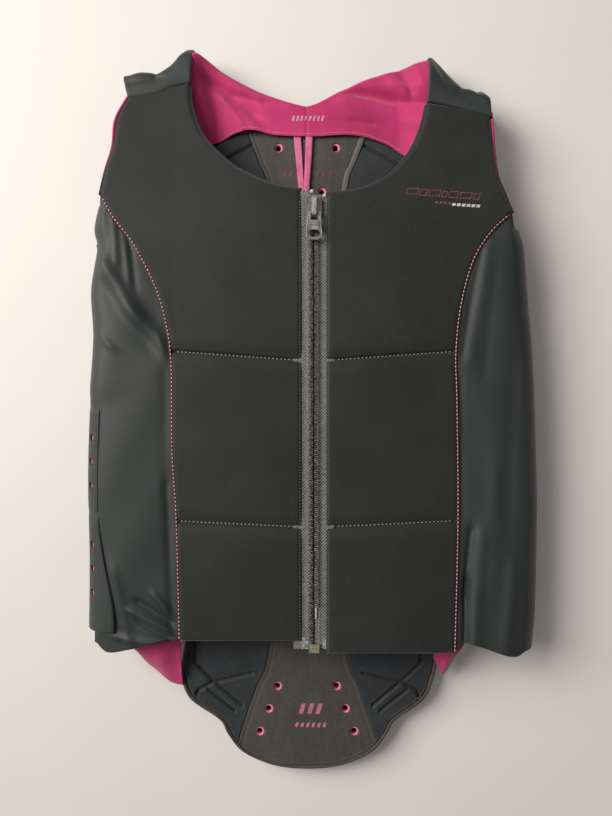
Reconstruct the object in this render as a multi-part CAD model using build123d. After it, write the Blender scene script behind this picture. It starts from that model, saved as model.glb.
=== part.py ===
from build123d import *
import math
import os

os.makedirs("parts", exist_ok=True)

# A zip-front back protector vest, lying closed on its back. X runs across it, Y from tail to neck,
# Z up from the surface under the spine. Millimetres.

# Front of the vest
FRONT_TOP = 61.0  # outer face of the front panels
SHOULDER_TOP = 46.0  # the same face where it reaches the shoulder seams
SLOPE_START, SLOPE_END = 220.0, 332.0  # the front falls between these two stations
HEM = {"left": -214.5, "right": -226.5}
SHELL_THICK = 1.5
PAD_THICK = 8.0
LINING_THICK = 1.0
LAYER_GAP = 0.2
ZIP_EDGE = 12.0  # half the gap between the two front edges
PAD_EDGE = 22.0  # pads stop here, outside the sewn-in tape
HINGE_X = 125.0  # the fabric bends here when a front is folded open
HINGE_GAP = 1.0

# Half outlines, worked outwards from the zip. The garment lies unevenly, so each side has its own.
NECKLINE = {
    "left": [(12, 216), (34, 219), (59, 229), (83, 244), (107, 270), (118, 299), (121, 325)],
    "right": [(12, 212), (39, 215), (58, 222), (76, 234), (93, 255), (104, 280), (110, 304)],
}
SHOULDER_END = {"left": (178, 313), "right": (170, 294)}
ARMHOLE = {
    "left": [(178, 313), (190, 288), (193, 260), (199, 237), (204, 212)],
    "right": [(170, 294), (172, 265), (175, 232), (182, 212), (189, 194)],
}
PRINCESS = {
    "left": [(204, 212), (191, 189), (172, 164), (151, 123), (136, 50), (133, -60), (128, -214.5)],
    "right": [(189, 194), (170, 177), (152, 149), (140, 106), (135, 60), (136, -70), (134, -226.5)],
}
YOKE_TOP = {
    "left": [(119, 361), (133, 348), (152, 334), (168, 335), (186, 330)],
    "right": [(112, 352), (121, 344), (133, 329), (145, 317), (168, 307)],
}
UNDERARM = {"left": (222, 178), "right": (222, 166)}
CHANNELS = [(53.0, 61.8), (-106.0, -100.0)]  # height of each sewn channel at the zip, and at the seam
CHANNEL_WIDTH = 4.0

# Back plate
SPINE_X = -6.0  # the plate lies a little to the left of the zip
PLATE_HALF = 128.0
PLATE_TOP_Y = 296.0
TAIL = [(128, -262), (118, -287), (88, -309), (79, -324), (64, -341), (34, -354), (0, -358)]
BINDING_THICK = 2.5
PLATE_LAYERS = [
    ("outer_back_shell", 0.0, 2.0),
    ("outer_pink_layer", 2.0, 4.0),
    ("core_foam", 4.0, 14.0),
    ("inner_pink_layer", 14.0, 15.5),
]
PANEL_TOP = 18.0
CELL_TOP = 19.0
SPINE_HALF = [(62, 290), (50, 258), (41, 229), (34, 120), (33, -60), (42, -238), (57, -285), (71, -332)]
PANEL_HOLES = [(29, 272), (15, 227), (30, -275), (39, -298), (48, -321)]
PANEL_HOLE = 10.0  # opening in the grey panel
VENT_HOLE = 6.5  # opening in every layer under it

# Wings that curl up round the ribs
WING_START = 129.0
CURL_X, CURL_Z, CURL_RADIUS = 190.0, 31.0, 31.0
CURL_END = 33.0  # degrees above level, where the wing's free edge stops
WING_LAYERS = [
    ("wing_shell", 0.0, 2.0),
    ("wing_pink_layer", 2.0, 3.5),
    ("wing_foam", 3.5, 10.5),
    ("wing_lining", 10.5, 11.5),
]
WING_LOW, WING_HIGH = -226.0, 176.0
WING_HOLES_Y = [-21, -44, -67, -124, -147, -170]
WING_HOLE_ANGLE = 17.0  # degrees above level, round the curl
WING_HOLE = 7.0
WING_VENT = 4.0

# Zip
TAPE_LOW, TAPE_HIGH = 57.0, 57.8
TAPE_OUT = 20.0
COIL_IN, COIL_OUT, COIL_HIGH = 0.9, 5.0, 60.0
ZIP_TOP, ZIP_BOTTOM = 211.0, -216.6
SLIDER_Y, SLIDER_LENGTH, SLIDER_HALF = 199.0, 22.0, 7.2
SLIDER_LOWEST = -205.5  # middle of the slider with the zip undone
SLIDER_PLATE = 1.4
SLIDER_FREE = 0.4
RELEASE_X = 8.4  # the half that lifts away stays outside the slider by this much
PIVOT_Y, PIVOT_Z, PIVOT_RADIUS = 192.5, 63.7, 0.8
BRIDGE_HALF, BRIDGE_THICK, BRIDGE_TOP = 2.2, 1.2, 66.2
TAB_THICK, TAB_END_Y, SLOT_LENGTH = 1.5, 166.0, 7.5

REACH = 400.0  # longer than any half of the vest
SIDES = {"left": -1, "right": 1}


def mirrored(points, sign):
    """Half-outline points put on one side of the vest."""
    return [(sign * x, y) for x, y in points]


def polygon(points):
    """A flat face with straight edges."""
    return Face(Wire(Polyline(*points, close=True).edges()))


def closed_face(*runs):
    """A face whose edge is the given runs of points: two points make a line, more make a smooth curve."""
    edges = [Line(*run) if len(run) == 2 else Spline(*run) for run in runs]
    return Face(Wire(edges))


def prism(face, low, high):
    """A plan face raised between two heights."""
    return extrude(face.moved(Location((0, 0, low))), amount=high - low, dir=(0, 0, 1))


def long_section(points):
    """A section in the Y-Z plane, drawn out across the whole vest."""
    return extrude(polygon([(0, y, z) for y, z in points]), amount=REACH, dir=(1, 0, 0), both=True)


def front_layer(face, depth, thick):
    """The part of a plan face that lies between two depths under the front's outer surface."""
    level, end, low = FRONT_TOP - depth, SHOULDER_TOP - depth, HEM["right"] - 20
    above = [(low, level), (SLOPE_START, level), (SLOPE_END, end), (REACH, end)]
    below = [(y, z - thick) for y, z in reversed(above)]
    return prism(face, 0, FRONT_TOP + 20) & long_section(above + below)


def on_seam(side, x):
    """Height along Y of the shoulder seam at a distance from the zip."""
    (x0, y0), (x1, y1) = NECKLINE[side][-1], SHOULDER_END[side]
    return y0 + (y1 - y0) * (x - x0) / (x1 - x0)


def save(shape, name):
    export_step(shape, f"parts/{name}.step")


def beside(points, distance):
    """A run of points moved to its left by a distance, each along the normal to its neighbours."""
    moved = []
    for index, (x, y) in enumerate(points):
        x0, y0 = points[max(index - 1, 0)]
        x1, y1 = points[min(index + 1, len(points) - 1)]
        length = math.hypot(x1 - x0, y1 - y0)
        moved.append((x - distance * (y1 - y0) / length, y + distance * (x1 - x0) / length))
    return moved


def strip(points, near, far):
    """A plan band between two distances to the left of a run of points."""
    first, second = beside(points, near), beside(points, far)[::-1]
    return closed_face(first, [first[-1], second[0]], second, [second[-1], first[0]])


def flap_plan(side):
    """One front from the zip to the line where it bends open."""
    edge, hem = HINGE_X - HINGE_GAP, HEM[side]
    neck = NECKLINE[side]
    corner = (edge, on_seam(side, edge))
    runs = [[(ZIP_EDGE, hem), neck[0]], neck, [neck[-1], corner]]
    runs += [[corner, (edge, hem)], [(edge, hem), (ZIP_EDGE, hem)]]
    return closed_face(*[mirrored(run, SIDES[side]) for run in runs])


def strap_plan(side):
    """The fixed part of a front: shoulder strap, armhole edge and the strip beside the side seam."""
    edge, hem = HINGE_X + HINGE_GAP, HEM[side]
    corner, end = (edge, on_seam(side, edge)), PRINCESS[side][-1]
    runs = [[corner, SHOULDER_END[side]], ARMHOLE[side], PRINCESS[side]]
    runs += [[end, (edge, hem)], [(edge, hem), corner]]
    return closed_face(*[mirrored(run, SIDES[side]) for run in runs])


def block(x0, x1, y0, y1, z0, z1):
    """A box between two corners."""
    middle = ((x0 + x1) / 2, (y0 + y1) / 2, (z0 + z1) / 2)
    return Location(middle) * Box(abs(x1 - x0), abs(y1 - y0), abs(z1 - z0))


def make_front(side):
    """Shell, three pads and lining of the front that folds open."""
    sign = SIDES[side]
    plan = flap_plan(side)
    pad_depth = SHELL_THICK + LAYER_GAP
    lining_depth = pad_depth + PAD_THICK + LAYER_GAP
    save(front_layer(plan, 0, SHELL_THICK), f"front_shell_{side}")
    save(front_layer(plan, lining_depth, LINING_THICK), f"front_lining_{side}")
    (upper_in, upper_out), (lower_in, lower_out) = CHANNELS
    half, hem, top = CHANNEL_WIDTH / 2, HEM[side] + CHANNEL_WIDTH, REACH
    inner, outer = PAD_EDGE, HINGE_X - 3 * HINGE_GAP
    bands = {
        "chest": (upper_in + half, upper_out + half, top, top),
        "rib": (lower_in + half, lower_out + half, upper_in - half, upper_out - half),
        "belly": (hem, hem, lower_in - half, lower_out - half),
    }
    padded = prism(plan.moved(Location((0, -CHANNEL_WIDTH, 0))), 0, FRONT_TOP)
    for pad, (low_in, low_out, high_in, high_out) in bands.items():
        corners = [(inner, low_in), (outer, low_out), (outer, high_out), (inner, high_in)]
        area = polygon(mirrored(corners, sign))
        save(front_layer(area, pad_depth, PAD_THICK) & padded, f"{pad}_pad_{side}")


def make_strap(side):
    """Shell, pad and lining between the fold line, the armhole and the side seam."""
    plan = strap_plan(side)
    pad_depth = SHELL_THICK + LAYER_GAP
    save(front_layer(plan, 0, SHELL_THICK), f"strap_shell_{side}")
    inner, outer, low, high = HINGE_X + 4, 210, 100, 300
    corners = [(inner, low), (outer, low), (outer, high), (inner, high)]
    area = polygon(mirrored(corners, SIDES[side]))
    inset = prism(plan.moved(Location((-3 * SIDES[side], -2, 0))), 0, FRONT_TOP)
    save(front_layer(area, pad_depth, PAD_THICK) & inset, f"strap_pad_{side}")
    save(front_layer(plan, pad_depth + PAD_THICK + LAYER_GAP, LINING_THICK), f"strap_lining_{side}")


def curl_section(side, outside, inside, low, high):
    """A layer of the wing: flat beside the plate, then an arc that turns up round the ribs."""
    sign = SIDES[side]
    centre = (CURL_X, CURL_Z)

    def at(radius, degrees):
        angle = math.radians(degrees)
        return (sign * (centre[0] + radius * math.cos(angle)), 0, centre[1] + radius * math.sin(angle))

    far, near = CURL_RADIUS - outside, CURL_RADIUS - inside
    middle = (CURL_END - 90) / 2
    start_out, start_in = (sign * WING_START, 0, outside), (sign * WING_START, 0, inside)
    edges = [
        Line(start_out, at(far, -90)), ThreePointArc(at(far, -90), at(far, middle), at(far, CURL_END)),
        Line(at(far, CURL_END), at(near, CURL_END)),
        ThreePointArc(at(near, CURL_END), at(near, middle), at(near, -90)), Line(at(near, -90), start_in),
        Line(start_in, start_out),
    ]
    face = Face(Wire(edges)).moved(Location((0, low, 0)))
    return extrude(face, amount=high - low, dir=(0, 1, 0))


def make_wing(side):
    """Four layers that wrap the ribs, pierced through the turned-up part."""
    sign = SIDES[side]
    for name, outside, inside in WING_LAYERS:
        layer = curl_section(side, outside, inside, WING_LOW, WING_HIGH)
        bore = (WING_HOLE if name == "wing_shell" else WING_VENT) / 2
        for y in WING_HOLES_Y:
            drill = Location((sign * CURL_X, y, CURL_Z)) * Rotation(0, 90 - sign * WING_HOLE_ANGLE, 0)
            layer = layer - drill * Location((0, 0, sign * CURL_RADIUS)) * Cylinder(bore, 30)
        save(layer, f"{name}_{side}")


def make_side_panel(side):
    """Stretch panel and its lining, from the side seam out and down to the wing's free edge."""
    sign = SIDES[side]
    start = PRINCESS[side][-1][0]
    rim = CURL_X + CURL_RADIUS * math.cos(math.radians(CURL_END))
    outer = [(start - 1, FRONT_TOP), (150, 60.6), (180, 58.2), (200, 55.4), (210, 53.2), (rim, 50.8)]
    armpit, low = UNDERARM[side], HEM[side] - 1
    runs = [PRINCESS[side], [PRINCESS[side][-1], (start, low)], [(start, low), (REACH, low)]]
    runs += [[(REACH, low), (REACH, armpit[1])], [(REACH, armpit[1]), armpit], [armpit, PRINCESS[side][0]]]
    seam = closed_face(*[mirrored(run, sign) for run in runs])
    clear = prism(seam.moved(Location((sign * 0.6, -0.6, 0))), 0, FRONT_TOP + 5)
    for name, depth, thick in [("side_panel", 0.0, 1.2), ("side_lining", 1.4, 0.8)]:
        top = [(sign * (x - 0.35 * depth), 0, z - depth) for x, z in outer]
        under = [(sign * (x - 0.35 * (depth + thick)), 0, z - depth - thick) for x, z in reversed(outer)]
        edges = [Spline(*top), Line(top[-1], under[0]), Spline(*under), Line(under[-1], top[0])]
        face = Face(Wire(edges)).moved(Location((0, WING_LOW, 0)))
        sheet = extrude(face, amount=armpit[1] + 50 - WING_LOW, dir=(0, 1, 0))
        save(sheet & clear, f"{name}_{side}")


def shoulder_height(y):
    """Outer height of the front at a station on the slope."""
    return FRONT_TOP + (SHOULDER_TOP - FRONT_TOP) * (y - SLOPE_START) / (SLOPE_END - SLOPE_START)


def make_yoke(side):
    """Shoulder piece that turns over from the back to the front seam, open to neck and armhole."""
    sign, gap = SIDES[side], 0.4
    top = YOKE_TOP[side]
    start, end = NECKLINE[side][-1], SHOULDER_END[side]
    start, end = (start[0], start[1] + gap), (end[0], end[1] + gap)
    runs = [[start, top[0]], top, [top[-1], end], [end, start]]
    plan = closed_face(*[mirrored(run, sign) for run in runs])
    low = min(start[1], end[1]) - 5
    roof = [(REACH, SHOULDER_TOP - 6), (SLOPE_END + 4, SHOULDER_TOP - 2), (low, shoulder_height(low))]
    section = [(low, 2), (REACH, 2)] + roof
    solid = prism(plan, 0, FRONT_TOP) & long_section(section)
    inside = [(x, y - 2.5) for x, y in top]
    first, last = (inside[0][0] - 30, inside[0][1]), (inside[-1][0] + 30, inside[-1][1])
    below = low - 10
    runs = [[first, inside[0]], inside, [inside[-1], last], [last, (last[0], below)]]
    runs += [[(last[0], below), (first[0], below)], [(first[0], below), first]]
    hollow = closed_face(*[mirrored(run, sign) for run in runs])
    roof = [(REACH, SHOULDER_TOP - 8), (SLOPE_END + 4, SHOULDER_TOP - 4)]
    room = [(below, 4), (REACH, 4)] + roof + [(below, shoulder_height(below) - 2)]
    save(solid - (prism(hollow, 0, FRONT_TOP) & long_section(room)), f"shoulder_yoke_{side}")


def plate_plan():
    """The protector's plan: straight sides and a tongue-shaped tail."""
    left = [(SPINE_X - x, y) for x, y in TAIL]
    right = [(SPINE_X + x, y) for x, y in reversed(TAIL)]
    tail = Spline(*(left + right[1:]))
    top_left, top_right = (-PLATE_HALF, PLATE_TOP_Y), (PLATE_HALF, PLATE_TOP_Y)
    side_left, side_right = (-PLATE_HALF, -230), (PLATE_HALF, -230)
    edges = [tail, Line(right[-1], side_right), Line(side_right, top_right), Line(top_right, top_left)]
    edges += [Line(top_left, side_left), Line(side_left, left[0])]
    return Face(Wire(edges))


def spine_plan(grow=0.0):
    """The hourglass panel down the middle, widened by a margin."""
    left = [(SPINE_X - x - grow, y) for x, y in SPINE_HALF]
    right = [(SPINE_X + x + grow, y) for x, y in reversed(SPINE_HALF)]
    edges = [Spline(*left), Line(left[-1], right[0]), Spline(*right), Line(right[-1], left[0])]
    return Face(Wire(edges))


def vents(diameter):
    """Vertical bores at every hole of the spine panel."""
    bores = []
    for half, y in PANEL_HOLES:
        for sign in (-1, 1):
            bores.append(Location((SPINE_X + sign * half, y, 10)) * Cylinder(diameter / 2, 30))
    return bores


def make_plate():
    """Laminated protector plate, spine panel, cell pads and the binding round the tail."""
    plan = plate_plan()
    for name, low, high in PLATE_LAYERS:
        save(prism(plan, low, high) - vents(VENT_HOLE), name)
    base = PLATE_LAYERS[-1][2]
    inside = prism(plan, 0, 40)
    save((prism(spine_plan(), base, PANEL_TOP) & inside) - vents(PANEL_HOLE), "inner_spine_panel")
    field = prism(plan, base, CELL_TOP) - prism(spine_plan(1.5), 0, 40)
    field = field & block(-REACH, REACH, -REACH, 288, 0, 40)
    for side, sign in SIDES.items():
        half = field & block(SPINE_X, sign * REACH, -REACH, REACH, 0, 40)
        save(half, f"cell_pad_{side}")
    rim = [(SPINE_X - x, y) for x, y in TAIL] + [(SPINE_X + x, y) for x, y in TAIL[-2::-1]]
    save(prism(strip(rim, -0.4, -0.4 - BINDING_THICK), 0.4, CELL_TOP + 0.6), "tail_binding")


def make_neck():
    """Back yoke sheet, neck facing and hanger loop."""
    yoke_low, inner, wide = 184.0, PLATE_HALF + 0.6, 186.0
    notch = PLATE_TOP_Y + 0.6
    outline = [(-wide, yoke_low), (-inner, yoke_low), (-inner, notch), (inner, notch), (inner, yoke_low)]
    outline += [(168, yoke_low), (168, 293), (110, 302.5), (30, 306), (-30, 306), (-121, 323), (-wide, 311)]
    save(prism(polygon(outline), 2, 4), "back_yoke")
    upper = [(-117, 361), (-83, 339), (-52, 324), (-16, 313), (0, 313), (32, 328), (68, 341), (108, 351)]
    lower = [(92, 263), (71, 276), (40, 284), (0, 283), (-37, 284), (-70, 288), (-104, 274)]
    facing = closed_face(upper, [upper[-1], lower[0]], lower, [lower[-1], upper[0]])
    band = [(260, 19.6), (370, 34), (370, 35.5), (260, 21.1)]
    save(prism(facing, 0, 60) & long_section(band), "neck_facing")
    outer = [(-20, 281), (-15, 205), (-10, 199), (-5, 198), (-1, 203), (-1, 281)]
    inner_loop = [(-13.5, 281), (-10, 209), (-7.5, 205.5), (-6, 209), (-7, 281)]
    save(prism(polygon(outer + inner_loop[::-1]), 19.6, 20.8), "hanger_loop")


def make_edges(side):
    """Narrow bindings along the neckline and the armhole, a hem band and the lining gusset at the tail."""
    sign = SIDES[side]
    gap, width = 0.4, 2.0
    edges = {"neck_binding": NECKLINE[side][:-1], "armhole_binding": ARMHOLE[side]}
    for name, line in edges.items():
        plan = strip(mirrored(line, sign), sign * gap, sign * (gap + width))
        save(front_layer(plan, 1.0, 9.0), f"{name}_{side}")
    corners = [(131, -231), (174, -228), (150, -243), (133, -268)]
    save(prism(polygon(mirrored(corners, sign)), 20.5, 22), f"lining_gusset_{side}")


def make_zip(side):
    """Woven tape, coil, stop and clear end film of one half of the zip."""
    sign, carries = SIDES[side], side == "left"
    slider_low, lowest_top = SLIDER_Y - SLIDER_LENGTH / 2, SLIDER_LOWEST + SLIDER_LENGTH / 2
    top = NECKLINE[side][0][1] - 0.6
    tape = block(sign * COIL_IN, sign * TAPE_OUT, HEM["left"] - 9, top, TAPE_LOW, TAPE_HIGH)
    film_in, coil_top, coil_low = COIL_OUT + 0.6, ZIP_TOP, ZIP_BOTTOM
    if not carries:
        tape = tape - block(0, RELEASE_X, slider_low - 1, REACH, 0, 80)
        tape = tape - block(0, RELEASE_X, -REACH, lowest_top + 1, 0, 80)
        film_in, coil_top, coil_low = RELEASE_X, slider_low - 1.5, lowest_top + 12
        pin_low, pin_high = lowest_top + 1.5, coil_low - 0.2
        save(block(COIL_IN, 2.6, pin_low, pin_high, TAPE_HIGH, TAPE_HIGH + 1.8), "insertion_pin")
    save(tape, f"zip_tape_{side}")
    coil = block(sign * COIL_IN, sign * COIL_OUT, coil_low, coil_top, TAPE_HIGH, COIL_HIGH)
    save(coil, f"zip_coil_{side}")
    film = block(sign * film_in, sign * (ZIP_EDGE - 0.4), -222, -211, TAPE_HIGH, TAPE_HIGH + 0.4)
    save(film, f"end_film_{side}")
    stop_in = COIL_IN if carries else RELEASE_X
    stop = block(sign * stop_in, sign * (stop_in + 2.6), top - 2.8, top, TAPE_HIGH, TAPE_HIGH + 1.6)
    save(stop, f"top_stop_{side}")


def make_slider():
    """Retaining box, slider plates with their web, bridge, and the pull tab on its bar."""
    box = block(-5, 5, -225, ZIP_BOTTOM - 0.4, TAPE_LOW - 1.6, COIL_HIGH + 0.6)
    box = box - block(-6, -COIL_IN, -230, ZIP_BOTTOM + 1, TAPE_LOW - 0.2, TAPE_HIGH + 0.2)
    save(box - block(0.6, 3.2, -223, ZIP_BOTTOM, TAPE_HIGH, TAPE_HIGH + 2), "retaining_box")
    low, high = SLIDER_Y - SLIDER_LENGTH / 2, SLIDER_Y + SLIDER_LENGTH / 2
    under, over = TAPE_LOW - SLIDER_FREE, COIL_HIGH + SLIDER_FREE
    shape = SlotOverall(SLIDER_LENGTH, 2 * SLIDER_HALF).face().moved(Location((0, SLIDER_Y, 0), (0, 0, 90)))
    plates = prism(shape, under - SLIDER_PLATE, under) + prism(shape, over, over + SLIDER_PLATE)
    web = block(-0.45, 0.45, low + 2, high - 1, under, over)
    rails = block(-SLIDER_HALF, -5.5, low + 8, high - 8, TAPE_HIGH + 0.4, over)
    rails += block(5.5, SLIDER_HALF, low + 8, high - 8, TAPE_HIGH + 0.4, over)
    save(plates + web + rails, "slider_body")
    deck = over + SLIDER_PLATE
    arch = block(-BRIDGE_HALF, BRIDGE_HALF, low + 1.2, high - 3, deck, BRIDGE_TOP)
    arch = fillet(arch.edges().filter_by(Axis.X).sort_by(Axis.Z)[-2:], 2.0)
    window = block(-9, 9, low + 2.6, high - 6, deck - 1, BRIDGE_TOP - BRIDGE_THICK)
    save(arch - window, "slider_bridge")
    half_top, half_end, mid = 6.5, 8.0, PIVOT_Z
    corners = [(half_top, PIVOT_Y), (half_end, TAB_END_Y + 5), (half_end - 3, TAB_END_Y)]
    corners += mirrored(corners[::-1], -1)
    blade = prism(polygon(corners), mid - TAB_THICK / 2, mid + TAB_THICK / 2)
    slot = block(-3.4, 3.4, PIVOT_Y - SLOT_LENGTH, PIVOT_Y + 3, 0, 90)
    eye = prism(SlotOverall(11, 7).face().moved(Location((0, TAB_END_Y + 6.5, 0))), 0, 90)
    bar = Location((0, PIVOT_Y, PIVOT_Z)) * Rotation(0, 90, 0) * Cylinder(PIVOT_RADIUS, 2 * half_top)
    ridge_y = PIVOT_Y - SLOT_LENGTH - 2.2
    ridge = block(-5.5, 5.5, ridge_y, ridge_y + 1, mid, mid + TAB_THICK / 2 + 0.5)
    save(blade - slot - eye + bar + ridge, "pull_tab")


make_plate()
make_neck()
make_slider()
for side_name in SIDES:
    make_front(side_name)
    make_strap(side_name)
    make_wing(side_name)
    make_side_panel(side_name)
    make_yoke(side_name)
    make_edges(side_name)
    make_zip(side_name)
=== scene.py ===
import math

import bmesh
import bpy
import numpy as np
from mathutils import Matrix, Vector


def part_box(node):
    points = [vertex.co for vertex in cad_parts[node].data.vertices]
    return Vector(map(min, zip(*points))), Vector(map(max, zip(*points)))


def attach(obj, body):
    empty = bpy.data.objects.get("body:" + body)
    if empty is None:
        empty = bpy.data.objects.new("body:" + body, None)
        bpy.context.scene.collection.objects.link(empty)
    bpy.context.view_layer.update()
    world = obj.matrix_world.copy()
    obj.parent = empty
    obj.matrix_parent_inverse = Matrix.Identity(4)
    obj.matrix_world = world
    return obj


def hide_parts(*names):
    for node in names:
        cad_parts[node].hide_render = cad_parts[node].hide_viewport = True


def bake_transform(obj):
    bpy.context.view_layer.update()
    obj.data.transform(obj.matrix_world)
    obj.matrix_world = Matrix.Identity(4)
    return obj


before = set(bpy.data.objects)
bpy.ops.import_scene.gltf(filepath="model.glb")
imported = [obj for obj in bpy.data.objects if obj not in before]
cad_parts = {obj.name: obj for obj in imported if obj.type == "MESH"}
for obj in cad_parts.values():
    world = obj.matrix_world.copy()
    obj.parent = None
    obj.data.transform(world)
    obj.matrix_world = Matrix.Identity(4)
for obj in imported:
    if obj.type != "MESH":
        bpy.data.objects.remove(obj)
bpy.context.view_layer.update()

# ---- Table, daylight and camera ---------------------------------------------------------------
# The vest lies on a plain pale table. Soft daylight comes from the upper left and a dim room fills
# the shadows. The camera looks straight down from 65 cm above the table, as a hand would hold it.


class Socket:
    """A value inside a material. Sums on it add Math nodes, and node() adds any other kind."""

    def __init__(self, tree, out=None):
        self.tree, self.out = tree, out

    def feed(self, socket, value):
        if isinstance(value, Socket):
            self.tree.links.new(value.out, socket)
        else:
            socket.default_value = value

    def node(self, kind, inputs=(), output=0, **settings):
        """Adds a node: its settings first, then the value or link of each named socket."""
        made = self.tree.nodes.new("ShaderNode" + kind)
        for name, value in settings.items():
            setattr(made, name, value)
        for name, value in dict(inputs).items():
            self.feed(made.inputs[name], value)
        return Socket(self.tree, made.outputs[output])

    def math(self, operation, *values):
        return self.node("Math", enumerate(values), operation=operation)

    def __add__(self, other):
        return self.math("ADD", self, other)

    def __mul__(self, other):
        return self.math("MULTIPLY", self, other)

    __radd__, __rmul__ = __add__, __mul__

    def between(self, low, high):
        """0 below low, 1 above high, straight in between."""
        return self.node("MapRange", {"Value": self, "From Min": low, "From Max": high})

    def tint(self, first, second):
        """Colour that goes from first to second as this value goes from 0 to 1."""
        colours = {"Factor": self, 6: first, 7: second}
        return self.node("Mix", colours, output=2, data_type="RGBA", blend_type="MIX")

    def noise(self, scale, detail=3.0, roughness=0.5):
        inputs = {"Vector": self, "Scale": scale, "Detail": detail, "Roughness": roughness}
        return self.node("TexNoise", inputs)

    def stretched(self, x, y, z):
        """The same place with each direction scaled on its own."""
        return self.node("Mapping", {"Vector": self, "Scale": (x, y, z)})

    def ribs(self, scale, direction="X"):
        """Parallel bands across one direction, from 0 to 1."""
        return self.node("TexWave", {"Vector": self, "Scale": scale}, output=1, bands_direction=direction)

    def cells(self, scale):
        """Distance to the nearest of many scattered points."""
        return self.node("TexVoronoi", {"Vector": self, "Scale": scale})


def rgb(red, green, blue):
    """An opaque colour from linear parts."""
    return (red, green, blue, 1.0)


def finish(name, paint, depth=0.0, own_place=True, **constants):
    """A Principled material. paint(place) gives what varies: Height becomes a Bump of the given depth.
    Place is the cloth's own coordinates in metres, or the object's where a part has none."""
    made = bpy.data.materials.new(name)
    made.use_nodes = True
    tree = made.node_tree
    shader = tree.nodes["Principled BSDF"]
    for key, value in constants.items():
        shader.inputs[key.replace("_", " ")].default_value = value
    start = Socket(tree)
    if own_place:
        place = start.node("Attribute", output="Vector", attribute_name="cloth_place")
    else:
        place = start.node("TexCoord", output="Object")
    varying = paint(place)
    height = varying.pop("Height", None)
    if height is not None:
        varying["Normal"] = place.node("Bump", {"Height": height, "Distance": depth})
    for key, value in varying.items():
        place.feed(shader.inputs[key], value)
    return made


def table_top(place):
    """Warm white with faint mottling. Painted light: warm on the left, towards the window; cooler grey on the
    right for the shade there, made paler to make up for the window light falling off.
    """
    # painted light: the colour runs from the warm window side to a paler, cooler grey away from it
    across = place.node("SeparateXYZ", {"Vector": place}).between(-0.35, 0.45)
    mottle = place.noise(9.0, 4.0)
    warm = mottle.tint(rgb(0.71, 0.670, 0.630), rgb(0.74, 0.700, 0.660))
    grey = mottle.tint(rgb(0.86, 0.80, 0.785), rgb(0.89, 0.83, 0.815))
    return {"Base Color": across.tint(warm, grey), "Height": place.noise(600.0, 2.0)}


TABLE_SIDE, TABLE_GAP = 4.0, 0.0004  # metres; the gap keeps the two faces from meeting
CAMERA_HEIGHT, LENS = 0.650, 27.4
bpy.ops.mesh.primitive_grid_add(
    x_subdivisions=8, y_subdivisions=8, size=TABLE_SIDE, location=(0, 0, -TABLE_GAP)
)
table = bpy.context.object
table.name = "table_top"
table.data.materials.append(finish("table_top", table_top, 0.00004, False, Roughness=0.65))


def area_light(name, place, target, size, power, colour):
    """A square soft light at a place, facing a target."""
    lamp = bpy.data.lights.new(name, "AREA")
    lamp.size, lamp.energy, lamp.color = size, power, colour
    made = bpy.data.objects.new(name, lamp)
    made.location = place
    towards = np.subtract(target, place)
    made.rotation_euler = Vector(towards).to_track_quat("-Z", "Y").to_euler()
    bpy.context.collection.objects.link(made)


area_light("window", (-1.50, 0.72, 1.38), (0, 0, 0), 1.3, 61.0, (1.0, 0.97, 0.92))
area_light("ceiling", (-0.4, 0.4, 2.0), (0, 0, 0), 2.0, 4.0, (1.0, 0.98, 0.97))
room = bpy.data.worlds.new("room")
room.use_nodes = True
room.node_tree.nodes["Background"].inputs["Color"].default_value = rgb(0.93, 0.93, 0.95)
room.node_tree.nodes["Background"].inputs["Strength"].default_value = 0.17
bpy.context.scene.world = room
bpy.context.scene.view_settings.view_transform = "Standard"

lens = bpy.data.cameras.new("hand_held")
lens.lens = LENS
camera = bpy.data.objects.new("hand_held", lens)
camera.location = (-0.0076, 0.0076, CAMERA_HEIGHT)
bpy.context.collection.objects.link(camera)
bpy.context.scene.camera = camera

# ---- Front panels -------------------------------------------------------------------------------
# Each front is matte knit cloth bonded over three foam pads, with two sewn channels between them.
# It is one piece from the zip to the side seam and armhole, and bends near that seam when opened.
MM = 0.001  # shapes are worked out in millimetres
SIDES = {"left": -1, "right": 1}
PAD_DEPTH = 9.6  # shell and foam together
CHANNELS = {"upper": (53.0, 61.8), "lower": (-106.0, -100.0)}  # station at the zip, and at the side seam
CHANNEL_END, CHANNEL_DEEP, CHANNEL_WIDE = 136.0, 4.6, 1.5
CROWN, CROWN_MIDDLE, CROWN_HALF = 1.2, 72, 62
SHOULDER_START, SHOULDER_FALL, SHOULDER_EASE = 220.0, 0.067, 30.0
NECKLINE = {
    "left": [(12, 216), (34, 219), (59, 229), (83, 244), (107, 270), (118, 299), (121, 325)],
    "right": [(12, 212), (39, 215), (58, 222), (76, 234), (93, 255), (104, 280), (110, 304)],
}
ARMHOLE = {
    "left": [(204, 212), (199, 237), (193, 260), (190, 288), (178, 313)],
    "right": [(189, 194), (182, 212), (175, 232), (172, 265), (170, 294)],
}
SIDE_SEAM = {
    "left": [
        (128, -214.5), (131, -99), (135, -34), (136, 50), (141, 89), (151, 123), (172, 164),
        (191, 189), (204, 212),
    ],
    "right": [
        (134, -226.5), (137, -99), (136, 15), (135, 59), (140, 106), (152, 149), (170, 177), (189, 194),
    ],
}
front_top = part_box("front_shell_left")[1][2] / MM
zip_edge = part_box("front_shell_right")[0][0] / MM


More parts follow.
